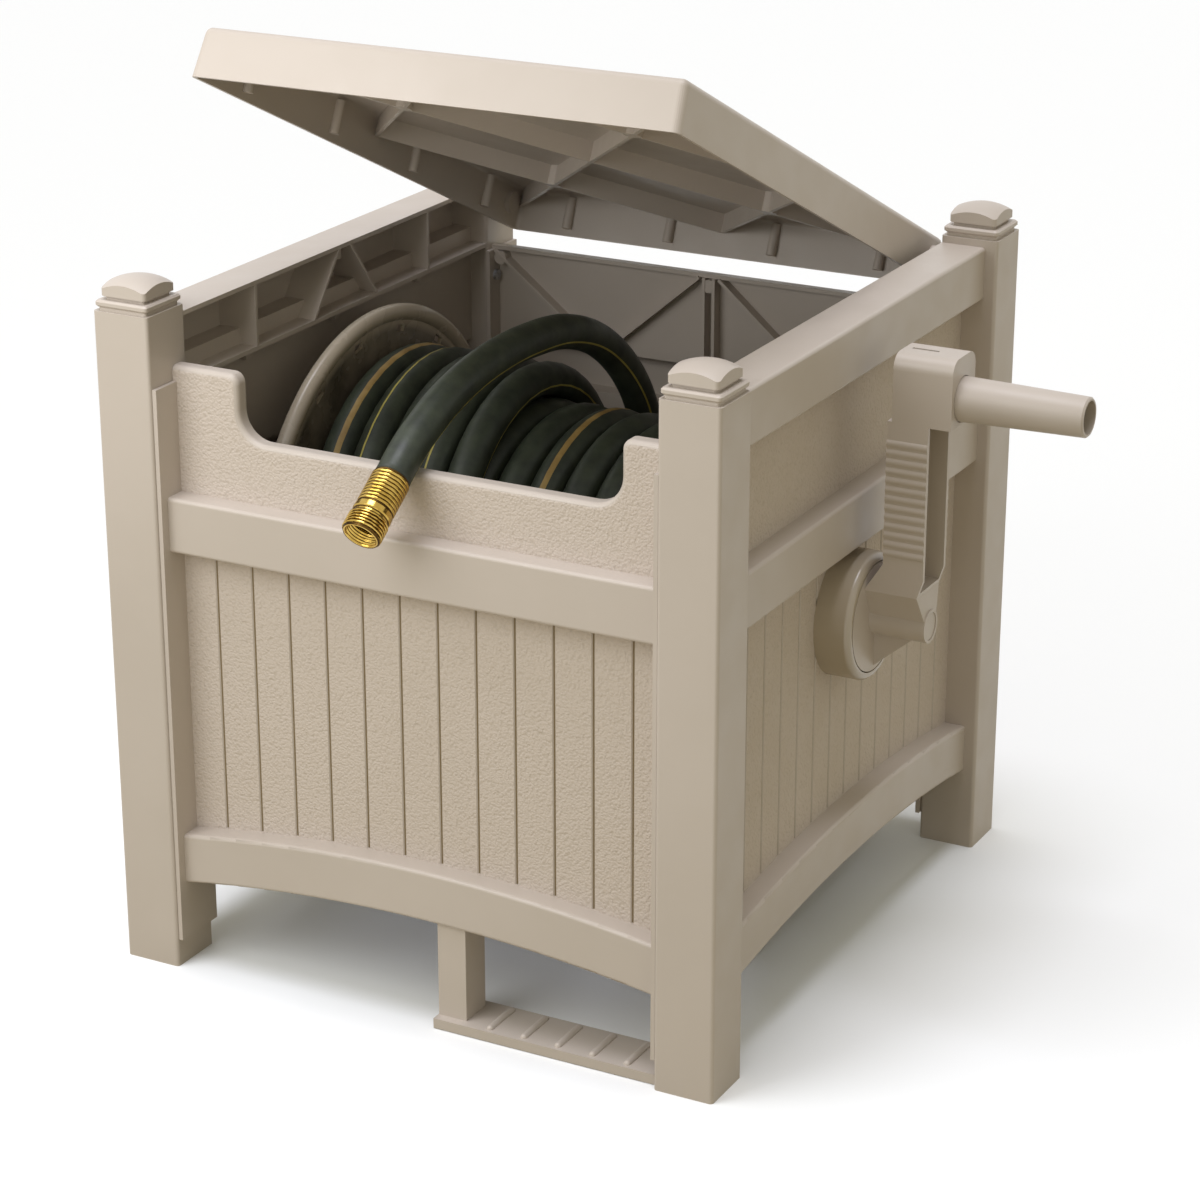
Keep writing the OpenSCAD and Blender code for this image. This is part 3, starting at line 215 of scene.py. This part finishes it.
# The free end, in the plane X = LEAD_X, as (Y, Z) in millimetres, and the rings from point to point
LEAD_ROUTE = [(123, 274.8), (121, 297), (113, 323), (97, 351), (69, 380), (32, 404), (-13, 419),
              (-60, 424), (-97, 424), (-132, 420.5), (-165, 413), (-190, 403.5), (-212, 393),
              (-232, 379.5)]
LEAD_PARTS = 6


def lead_line():
    """The route as one smooth line, a Catmull-Rom curve that starts and ends straight."""
    pts = [Vector((y * MM, z * MM)) for y, z in LEAD_ROUTE]
    pts = [pts[0] - Vector((0, STUB))] + pts + [2 * pts[-1] - pts[-2]]
    line = []
    for p0, p1, p2, p3 in zip(pts, pts[1:], pts[2:], pts[3:]):
        for i in range(LEAD_PARTS):
            s = i / LEAD_PARTS
            line.append(0.5 * (2 * p1 + (p2 - p0) * s + (2 * p0 - 5 * p1 + 4 * p2 - p3) * s * s
                               + (3 * p1 - p0 - 3 * p2 + p3) * s ** 3))
    line.append(pts[-2])
    return line


def make_lead():
    """The free end's skin, the points that it follows and its length."""
    line = lead_line()
    rings = []
    for i, p in enumerate(line):
        way = (line[min(i + 1, len(line) - 1)] - line[max(i - 1, 0)]).normalized()
        ring = []
        for column in COLUMNS:
            a = math.radians(column + LEAD_STRIPE)
            side, out = HOSE_R * math.cos(a), HOSE_R * math.sin(a)
            ring.append((LEAD_X + side, p.x + out * way.y, p.y - out * way.x))
        rings.append(ring)
    path = [(LEAD_X, p.x, p.y) for p in line]
    length = sum((b - a).length for a, b in zip(line, line[1:]))
    return tube("hose_free_end", rings), path, length


# The brass coupling goes straight on from the end of the route. Its two turned pieces have this many
# sides, edges that are sharp over this angle in degrees, and this radius inside
(BEFORE_Y, BEFORE_Z), (END_Y, END_Z) = LEAD_ROUTE[-2:]
LEAD_END = Vector((LEAD_X, END_Y * MM, END_Z * MM))
TILT = math.atan2(BEFORE_Z - END_Z, BEFORE_Y - END_Y)
AHEAD = Vector((0, -math.cos(TILT), -math.sin(TILT)))
UP = Vector((0, -math.sin(TILT), math.cos(TILT)))
RIGHT = Vector((1, 0, 0))
LATHE_SIDES = 96
SHARP_ANGLE = 38
INNER_R = 8.5 * MM


def lathe(name, profile, groove_low, groove_high):
    """Ring-shaped piece from a closed profile of points, each a distance ahead and a radius, or a
    function that gives them at an angle. Faces between the two groove radii are tarnished."""
    points, faces = [], []
    count = len(profile)
    for j in range(LATHE_SIDES):
        a = 2 * math.pi * j / LATHE_SIDES
        for step in profile:
            z, r = step(a) if callable(step) else step
            points.append(LEAD_END + AHEAD * z + (RIGHT * math.cos(a) + UP * math.sin(a)) * r)
    for j in range(LATHE_SIDES):
        k = (j + 1) % LATHE_SIDES
        for i in range(count):
            n = (i + 1) % count
            faces.append((j * count + i, j * count + n, k * count + n, k * count + i))
    obj = mesh_from(name, [tuple(p) for p in points], faces)
    face_outwards(obj.data, SHARP_ANGLE)
    for poly in obj.data.polygons:
        reach = max((points[v] - LEAD_END).cross(AHEAD).length for v in poly.vertices)
        poly.material_index = 1 if groove_low < reach < groove_high else 0
    return obj


def outline(points, start, way=1):
    """Profile points from pairs of millimetres: a distance from start along way, and a radius."""
    return [(start + way * z * MM, r * MM) for z, r in points]


# The ferrule: its end towards the hose, then its crimped rings, from where to where, how many, the
# points of each, and their highest and lowest radius. A power under 1 makes the rings round and the
# grooves between them narrow. Its other end is the one at the fitting
FERRULE_L = 26 * MM
HOSE_END = [(0.0, 11.7), (0.0, 11.8), (0.4, 12.2)]
CRIMPS_FROM, CRIMPS_TO = 1.2 * MM, 25 * MM
CRIMPS = 9
CRIMP_STEPS = 10
CRIMP_TOP_R, CRIMP_LOW_R = 12.85 * MM, 12.0 * MM
CRIMP_POWER = 0.7
FITTING_END = [(0.0, 12.0), (0.0, 9.5)]

# Tarnish: it starts just below a groove, and covers this share of the depth between crimps and in
# the thread
TARNISH_BELOW = 0.05 * MM
CRIMP_TARNISH = 0.6
THREAD_TARNISH = 0.55


def make_ferrule():
    """Crimped sleeve with rounded rings between narrow grooves."""
    length = CRIMPS_TO - CRIMPS_FROM
    height = CRIMP_TOP_R - CRIMP_LOW_R
    profile = outline(HOSE_END, 0.0)
    steps = CRIMPS * CRIMP_STEPS
    for i in range(steps + 1):
        wave = abs(math.sin(math.pi * i / steps * CRIMPS)) ** CRIMP_POWER
        profile.append((CRIMPS_FROM + length * i / steps, CRIMP_LOW_R + height * wave))
    profile += outline(FITTING_END, FERRULE_L)
    return lathe("crimped_ferrule", profile,
                 CRIMP_LOW_R - TARNISH_BELOW, CRIMP_LOW_R + CRIMP_TARNISH * height)


# The fitting's shoulder ring and waist, its waist at the thread, and its lip, which is measured
# back from its open end
FITTING_L = 20.5 * MM
SHOULDER = [(0.0, 12.2), (0.8, 12.9), (4.4, 13.0), (5.2, 12.4), (5.8, 11.7)]
WAIST_END = [(-0.6, 11.7), (0.0, 12.25)]
LIP = [(0.25, 12.25), (0.0, 11.75), (0.0, 10.9), (0.4, 10.5)]

# Its thread, which stops short of the open end. Across a pitch its height climbs and falls by
# THREAD_SLOPE to THREAD_PEAK, cut off at 0, the root, and 1, the crest. It fades in and out
THREAD_L = 13 * MM
THREAD_STOP = 0.6 * MM
THREAD_PITCH = 2.21 * MM
CREST_R, ROOT_R = 13.4 * MM, 12.25 * MM
THREAD_STEPS = 84
THREAD_PEAK = 1.7
THREAD_SLOPE = 4.4
THREAD_IN, THREAD_OUT = 0.8 * MM, 1.0 * MM

# The rings inside its mouth: how many, their points in all, where they start and how far they go in
# from the open end, their smallest radius and height, and where the inner radius starts
MOUTH_RINGS = 4
MOUTH_STEPS = 30
MOUTH_FROM, MOUTH_L = 1.0 * MM, 8.0 * MM
MOUTH_R, MOUTH_RING_H = 10.3 * MM, 0.8 * MM
INNER_FROM = 9.6 * MM


def thread_step(z, from_z, to_z):
    """Point of the profile at z, on a thread that goes from from_z to to_z."""
    def at(angle):
        turn = ((z - from_z) / THREAD_PITCH - angle / (2 * math.pi)) % 1.0
        wave = min(1.0, max(0.0, THREAD_PEAK - abs(turn - 0.5) * THREAD_SLOPE))
        fade = min(1.0, (z - from_z) / THREAD_IN, (to_z - z) / THREAD_OUT)
        return z, ROOT_R + (CREST_R - ROOT_R) * wave * max(0.0, fade)
    return at


def make_fitting():
    """Shoulder ring, waist and male thread, open at the end with rings inside its mouth."""
    end = FERRULE_L + FITTING_L
    thread = end - THREAD_L
    profile = [(FERRULE_L, INNER_R)] + outline(SHOULDER, FERRULE_L) + outline(WAIST_END, thread)
    for i in range(1, THREAD_STEPS):
        profile.append(thread_step(thread + THREAD_L * i / THREAD_STEPS, thread, end - THREAD_STOP))
    profile += outline(LIP, end, way=-1)
    for i in range(MOUTH_STEPS + 1):
        ring = 0.5 - 0.5 * math.cos(2 * math.pi * i / MOUTH_STEPS * MOUTH_RINGS)
        profile.append((end - MOUTH_FROM - MOUTH_L * i / MOUTH_STEPS, MOUTH_R + MOUTH_RING_H * ring))
    profile.append((end - INNER_FROM, INNER_R))
    return lathe("threaded_fitting", profile,
                 ROOT_R - TARNISH_BELOW, ROOT_R + THREAD_TARNISH * (CREST_R - ROOT_R))


# Shader nodes
class Nodes:
    """Short ways to add and join the nodes of a tree. A mask is 1 inside and 0 outside."""

    def __init__(self, tree):
        self.tree = tree

    def put(self, socket, value):
        """Joins an input to a node's output, or gives it a plain value."""
        if hasattr(value, "is_linked"):
            self.tree.links.new(value, socket)
        else:
            socket.default_value = value

    def new(self, kind, inputs=None, **settings):
        """Adds a node and gives it its settings and then its inputs."""
        node = self.tree.nodes.new(kind)
        for key, value in settings.items():
            setattr(node, key, value)
        for key, value in (inputs or {}).items():
            self.put(node.inputs[key], value)
        return node

    def math(self, operation, a, b=0.0):
        return self.new("ShaderNodeMath", {0: a, 1: b}, operation=operation).outputs[0]

    def vector(self, operation, a, b):
        return self.new("ShaderNodeVectorMath", {0: a, 1: b}, operation=operation).outputs[0]

    def parts(self, vector):
        return self.new("ShaderNodeSeparateXYZ", {0: vector}).outputs

    def both(self, a, b):
        return self.math("MULTIPLY", a, b)

    def either(self, a, b):
        return self.math("MAXIMUM", a, b)

    def over(self, value, limit):
        return self.math("GREATER_THAN", value, limit)

    def under(self, value, limit):
        return self.math("LESS_THAN", value, limit)

    def span(self, value, low, high, to_low=0.0, to_high=1.0):
        """How far value is from low to high, as a share or on its way between two other values."""
        inputs = {"Value": value, "From Min": low, "From Max": high, "To Min": to_low,
                  "To Max": to_high}
        return self.new("ShaderNodeMapRange", inputs).outputs[0]

    def mix(self, factor, a, b):
        """Colour a where factor is 0, and b where it is 1."""
        return self.new("ShaderNodeMix", {0: factor, 6: a, 7: b}, data_type="RGBA").outputs[2]


class Finish(Nodes):
    """The nodes of a new material, with the place and normal of the surface."""

    def __init__(self, name):
        self.material = bpy.data.materials.new(name)
        self.material.use_nodes = True
        super().__init__(self.material.node_tree)
        surface = self.new("ShaderNodeTexCoord").outputs
        self.place, self.normal = surface["Object"], surface["Normal"]

    def noise(self, scale, detail):
        inputs = {"Vector": self.place, "Scale": scale, "Detail": detail, "Roughness": 0.55}
        return self.new("ShaderNodeTexNoise", inputs).outputs["Fac"]

    def bump(self, height, distance, strength, base=None):
        """Bump on top of another one, base, or on the plain surface."""
        inputs = {"Height": height, "Distance": distance, "Strength": strength}
        if base is not None:
            inputs["Normal"] = base
        return self.new("ShaderNodeBump", inputs).outputs[0]

    def done(self, **sockets):
        """Sets the shader's inputs, named with _ for a space, and returns the material."""
        for key, value in sockets.items():
            self.put(self.tree.nodes["Principled BSDF"].inputs[key.replace("_", " ")], value)
        return self.material


def rgba(red, green, blue):
    """Colour written as 0 to 255 on the screen, as the shader takes it."""
    def linear(c):
        c /= 255
        return c / 12.92 if c <= 0.04045 else ((c + 0.055) / 1.055) ** 2.4
    return (linear(red), linear(green), linear(blue), 1.0)


# Tones of each material, in pairs of light and dark
TAUPE = rgba(195, 185, 176), rgba(189, 179, 169)
# Pebbles: a tone lifted over the plain resin to make up for light the bump loses, and painted shade
# in their valleys
PEBBLE_LIFT_AND_SHADE = rgba(204, 193, 184), rgba(195, 184, 173)
REEL = rgba(196, 185, 169), rgba(180, 169, 152)
BEARING = rgba(180, 169, 152), rgba(172, 160, 142)
BLACK = rgba(52, 52, 51), rgba(40, 40, 39)
GREEN = rgba(55, 61, 48), rgba(37, 42, 34)
TAN = rgba(164, 138, 84), rgba(132, 106, 60)
YELLOW = rgba(186, 174, 92), rgba(160, 146, 70)
SEAL = rgba(30, 30, 30), rgba(18, 18, 18)
BRASS = rgba(206, 174, 92), rgba(170, 136, 58)
TARNISH = rgba(92, 68, 32), rgba(62, 44, 20)
ZINC = rgba(196, 197, 200), rgba(170, 171, 174)
# Painted shade in the grooves between the planks
GROOVE_SHADE = rgba(146, 130, 104)
# Painted shade on the flanges' faces inside their rims
FLANGE_SHADE = rgba(84, 78, 68)

# Outer faces of the planks and upper walls, each as its axis, 0 for X and 1 for Y, and its place,
# which is this far from the cabinet's middle
CAB_MIDDLE = (CAB_X, CAB_Y)
PLANK_X, PLANK_Y = 200 * MM, 213.5 * MM
FRONT_PLANKS = (1, CAB_Y - PLANK_Y)
REAR_PLANKS = (1, CAB_Y + PLANK_Y)
LEFT_PLANKS = (0, CAB_X - PLANK_X)
RIGHT_PLANKS = (0, CAB_X + PLANK_X)

# What counts as such a face: how near its plane, and how squarely it looks outwards. Then the same
# for the sides of a groove, and a height over the planks and under the upper walls
PLANK_NEAR = 0.6 * MM
PLANK_FACING = 0.95
GROOVE_FROM, GROOVE_TO = 0.7 * MM, 2.6 * MM
GROOVE_FACING = 0.05
PLANK_TOP = 300 * MM

# Pebble grain: its cells in a metre, the noise that bends them, the shape and height of a pebble,
# the distances from its middle where the painted valley shade starts and is full, and how much
# rougher and how glossy the grain is
PEBBLE_SCALE = 640.0
PEBBLE_WARP = 1.6 * MM
PEBBLE_WARP_SCALE = 380.0
PEBBLE_POWER = 1.5
PEBBLE_HEIGHT = 0.7 * MM
PEBBLE_VALLEY_SHADE = (0.4, 0.85)
PEBBLE_ROUGHER = 0.22
PEBBLE_GLOSS = 0.18

# Painted shade on a flange's faces inside the rim: up to which radius, over which width it ends
# there, how squarely the face looks along the axis, and how dark the noise makes it
FLANGE_SHADE_R = 147 * MM
FLANGE_SHADE_EDGE = 5 * MM
FLANGE_SHADE_FACING = 0.8
FLANGE_SHADE_SPREAD = (0.3, 0.65)
FLANGE_SHADE_DARKNESS = (0.45, 0.9)

# Spans of a noise's values over which one tone or roughness turns into the other: as much of the
# first as of the second, or more of the first
EVEN = (0.3, 0.7)
MORE_FIRST = (0.35, 0.7)


def plank_masks(n, planes):
    """Masks of the planks and upper walls, and of the grooves between the planks."""
    place, normal = n.parts(n.place), n.parts(n.normal)
    plane, groove = 0.0, 0.0
    for axis, at in planes:
        outwards = 1.0 if at > CAB_MIDDLE[axis] else -1.0
        depth = n.math("MULTIPLY", n.math("SUBTRACT", at, place[axis]), outwards)
        facing = n.math("MULTIPLY", normal[axis], outwards)
        near = n.under(n.math("ABSOLUTE", depth), PLANK_NEAR)
        plane = n.either(plane, n.both(near, n.over(facing, PLANK_FACING)))
        inside = n.both(n.over(depth, GROOVE_FROM), n.under(depth, GROOVE_TO))
        groove = n.either(groove, n.both(inside, n.over(facing, GROOVE_FACING)))
    return plane, n.both(groove, n.under(place[2], PLANK_TOP))


def pebble_cells(n):
    """Distance to the middle of the nearest pebble, on a surface bent by a noise."""
    inputs = {"Vector": n.place, "Scale": PEBBLE_WARP_SCALE, "Detail": 1.0}
    noise = n.new("ShaderNodeTexNoise", inputs).outputs["Color"]
    bent = n.vector("ADD", n.place, n.vector("MULTIPLY", noise, (PEBBLE_WARP,) * 3))
    inputs = {"Vector": bent, "Scale": PEBBLE_SCALE}
    return n.new("ShaderNodeTexVoronoi", inputs, feature="SMOOTH_F1").outputs["Distance"]


def flange_shade_mask(n):
    """Strength of the painted shade on the flanges' faces inside the rim, broken up by noise."""
    place, normal = n.parts(n.place), n.parts(n.normal)
    up = n.math("SUBTRACT", place[2], AXIS_Z)
    reach = n.math("SQRT", n.math("ADD", n.math("MULTIPLY", place[1], place[1]),
                                  n.math("MULTIPLY", up, up)))
    disc = n.both(n.span(reach, FLANGE_SHADE_R, FLANGE_SHADE_R - FLANGE_SHADE_EDGE),
                  n.over(n.math("ABSOLUTE", normal[0]), FLANGE_SHADE_FACING))
    return n.both(disc, n.span(n.noise(scale=30.0, detail=4.0), *FLANGE_SHADE_SPREAD, *FLANGE_SHADE_DARKNESS))


def plastic(name, tones, roughness=(0.36, 0.5), gloss=0.5, grain=(), painted_flange_shade=False):
    """Moulded resin: soft blotches, a fine skin, pebbles on the planes in grain with painted shade
    in their valleys and grooves, and painted shade on the flanges' faces.
    """
    n = Finish(name)
    colour = n.mix(n.span(n.noise(scale=7.0, detail=4.0), *EVEN), *tones)
    skin = n.bump(n.noise(scale=900.0, detail=2.0), distance=0.06 * MM, strength=0.5)
    rough = n.span(n.noise(scale=40.0, detail=3.0), *EVEN, *roughness)
    if grain:
        mask, groove = plank_masks(n, grain)
        cells = pebble_cells(n)
        pebble = n.math("SUBTRACT", 1.0, n.math("POWER", cells, PEBBLE_POWER))
        skin = n.bump(n.both(pebble, mask), distance=PEBBLE_HEIGHT, strength=0.9, base=skin)
        # Painted shade in the pebbles' valleys, on a tone lifted to make up for light the bump loses
        colour = n.mix(mask, colour, n.mix(n.span(cells, *PEBBLE_VALLEY_SHADE), *PEBBLE_LIFT_AND_SHADE))
        # Painted shade in the grooves between the planks
        colour = n.mix(groove, colour, GROOVE_SHADE)
        rough = n.math("ADD", rough, n.math("MULTIPLY", mask, PEBBLE_ROUGHER))
        gloss = n.span(n.either(mask, groove), 0.0, 1.0, gloss, PEBBLE_GLOSS)
    # Painted shade on the flanges' faces, broken up by noise
    if painted_flange_shade:
        colour = n.mix(flange_shade_mask(n), colour, FLANGE_SHADE)
    return n.done(Base_Color=colour, Roughness=rough, Normal=skin, Specular_IOR_Level=gloss)


RUBBER_ROUGHNESS = (0.42, 0.6)
RUBBER_GLOSS = 0.42


def rubber(name, tones):
    """Hose wall or seal with a soft mottle and the faint print of a braid."""
    n = Finish(name)
    mottle = n.noise(scale=70.0, detail=4.0)
    colour = n.mix(n.span(mottle, *MORE_FIRST), *tones)
    uneven = n.bump(mottle, distance=0.4 * MM, strength=0.35)
    braid = n.noise(scale=1400.0, detail=2.0)
    skin = n.bump(braid, distance=0.08 * MM, strength=0.7, base=uneven)
    rough = n.span(n.noise(scale=55.0, detail=3.0), *EVEN, *RUBBER_ROUGHNESS)
    return n.done(Base_Color=colour, Roughness=rough, Normal=skin, Specular_IOR_Level=RUBBER_GLOSS)


def metal(name, tones, roughness):
    """Turned or plated metal with clouded colour and fine tool marks."""
    n = Finish(name)
    colour = n.mix(n.span(n.noise(scale=60.0, detail=4.0), *MORE_FIRST), *tones)
    marks = n.noise(scale=900.0, detail=2.0)
    return n.done(Base_Color=colour, Roughness=n.span(marks, *EVEN, *roughness), Metallic=1.0,
                  Normal=n.bump(marks, distance=0.03 * MM, strength=0.5))


smooth_resin = plastic("smooth_resin", TAUPE)
front_resin = plastic("front_resin", TAUPE, grain=[FRONT_PLANKS])
rear_resin = plastic("rear_resin", TAUPE, grain=[REAR_PLANKS])
side_resin = plastic("side_resin", TAUPE, grain=[RIGHT_PLANKS, LEFT_PLANKS])
reel_resin = plastic("reel_resin", REEL, roughness=(0.2, 0.32), painted_flange_shade=True)
bearing_resin = plastic("bearing_resin", BEARING, roughness=(0.16, 0.26), gloss=0.6)
black_resin = plastic("black_resin", BLACK, roughness=(0.35, 0.5))
hose_green = rubber("hose_green", GREEN)
hose_tan = rubber("hose_tan", TAN)
hose_yellow = rubber("hose_yellow", YELLOW)
seal_rubber = rubber("seal_rubber", SEAL)
brass = metal("brass", BRASS, roughness=(0.12, 0.22))
dull_brass = metal("dull_brass", TARNISH, roughness=(0.3, 0.45))
zinc = metal("zinc", ZINC, roughness=(0.25, 0.4))

FINISHES = {
    "left_side_panel": side_resin, "right_side_panel": side_resin,
    "front_panel": front_resin, "rear_panel": rear_resin,
    "front_left_cap": smooth_resin, "front_right_cap": smooth_resin,
    "rear_left_cap": smooth_resin, "rear_right_cap": smooth_resin,
    "crank_collar": bearing_resin, "inlet_bushing": bearing_resin,
    "inlet_tube": black_resin, "inlet_seals": seal_rubber, "foot_rest": smooth_resin,
    "front_panel_screws": zinc, "rear_panel_screws": zinc, "foot_rest_screw": zinc,
    "left_flange": reel_resin, "right_flange": reel_resin,
    "upper_drum_half": reel_resin, "lower_drum_half": reel_resin, "drum_screws": zinc,
    "outlet_elbow": black_resin, "inner_coupling": brass, "hose_core": hose_green,
    "hose_winding": hose_green, "crank_arm": smooth_resin, "crank_screw": smooth_resin,
    "grip_pin": zinc, "grip_sleeve": smooth_resin, "lid_shell": smooth_resin,
    "hose_lead": hose_green, "coupling_ferrule": brass, "coupling_fitting": brass,
}


def paint(obj, *materials):
    """Gives an object its materials and keeps which face has which."""
    indices = [poly.material_index for poly in obj.data.polygons]
    obj.data.materials.clear()
    for material in materials:
        obj.data.materials.append(material)
    if len(materials) > 1:
        obj.data.polygons.foreach_set("material_index", indices)


def dress_nodes():
    for name, obj in frame["nodes"].items():
        paint(obj, FINISHES[name])


def make_hose():
    """The free end with its coupling, and the winding on the reel."""
    ferrule = make_ferrule()
    fitting = make_fitting()
    for piece, node in ((ferrule, "coupling_ferrule"), (fitting, "coupling_fitting")):
        paint(piece, brass, dull_brass)
        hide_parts(node)
        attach(piece, "housing")
    lead, path, length = make_lead()
    paint(lead, hose_green, hose_tan, hose_yellow)
    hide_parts("hose_lead")
    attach(lead, "housing")
    winding = make_winding()
    paint(winding, hose_green, hose_tan, hose_yellow)
    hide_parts("hose_winding")
    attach(winding, "reel")


make_hose()
dress_nodes()

# Stage and light: how far the floor reaches from the middle, and what the floor and the sky are
# for the light on the object and for what sees them
FLOOR_REACH = 14.0
FLOOR_LIT = (0.36, 0.31, 0.19, 1.0)
FLOOR_SEEN = (0.96, 0.98, 1.0, 1.0)
SKY_LIT = (0.5, 0.475, 0.385, 1.0)
SKY_SEEN = (1.0, 1.0, 1.0, 1.0)


def seen_ray(n):
    """1 for what the camera, a gloss or a clear body sees, and 0 for the light on the object."""
    rays = n.new("ShaderNodeLightPath").outputs
    seen = n.either(rays["Is Camera Ray"], rays["Is Glossy Ray"])
    return n.either(seen, rays["Is Transmission Ray"])


def make_stage():
    corners = [(-1, -1), (1, -1), (1, 1), (-1, 1)]
    floor = mesh_from("floor", [(x * FLOOR_REACH, y * FLOOR_REACH, 0) for x, y in corners],
                      [(0, 1, 2, 3)])
    n = Finish("floor")
    colour = n.mix(seen_ray(n), FLOOR_LIT, FLOOR_SEEN)
    paint(floor, n.done(Base_Color=colour, Roughness=0.8, Specular_IOR_Level=0.1))


def make_world():
    world = bpy.data.worlds.new("studio")
    bpy.context.scene.world = world
    world.use_nodes = True
    n = Nodes(world.node_tree)
    n.put(n.tree.nodes["Background"].inputs["Color"], n.mix(seen_ray(n), SKY_LIT, SKY_SEEN))


def add_light(name, kind, energy, colour, way):
    """Lamp that shines along way. Its place and size are set by the caller."""
    data = bpy.data.lights.new(name, kind)
    data.energy = energy
    data.color = colour
    light = add_object(name, data)
    light.rotation_euler = Vector(way).to_track_quat("-Z", "Y").to_euler()
    return light


def add_panel(name, energy, colour, place, target, size):
    light = add_light(name, "AREA", energy, colour, Vector(target) - Vector(place))
    light.data.shape = "RECTANGLE"
    light.data.size, light.data.size_y = size
    light.location = place
    light.visible_camera = False


def make_lights():
    sun = add_light("overhead", "SUN", energy=1.65, colour=(1.0, 1.01, 1.13),
                    way=(0.05, 0.07, -0.99))
    sun.data.angle = math.radians(30)
    add_panel("softbox", energy=4.0, colour=(0.98, 0.99, 1.0), place=(-0.38, -0.78, 0.82),
              target=(CAB_X, -0.1, 0.3), size=(0.6, 0.6))
    add_panel("low_fill", energy=1.2, colour=(0.93, 0.96, 1.0), place=(-0.15, -1.4, 0.2),
              target=(CAB_X, 0.0, 0.6), size=(1.4, 0.3))


make_stage()
make_world()
make_lights()
bpy.context.scene.view_settings.view_transform = "Standard"
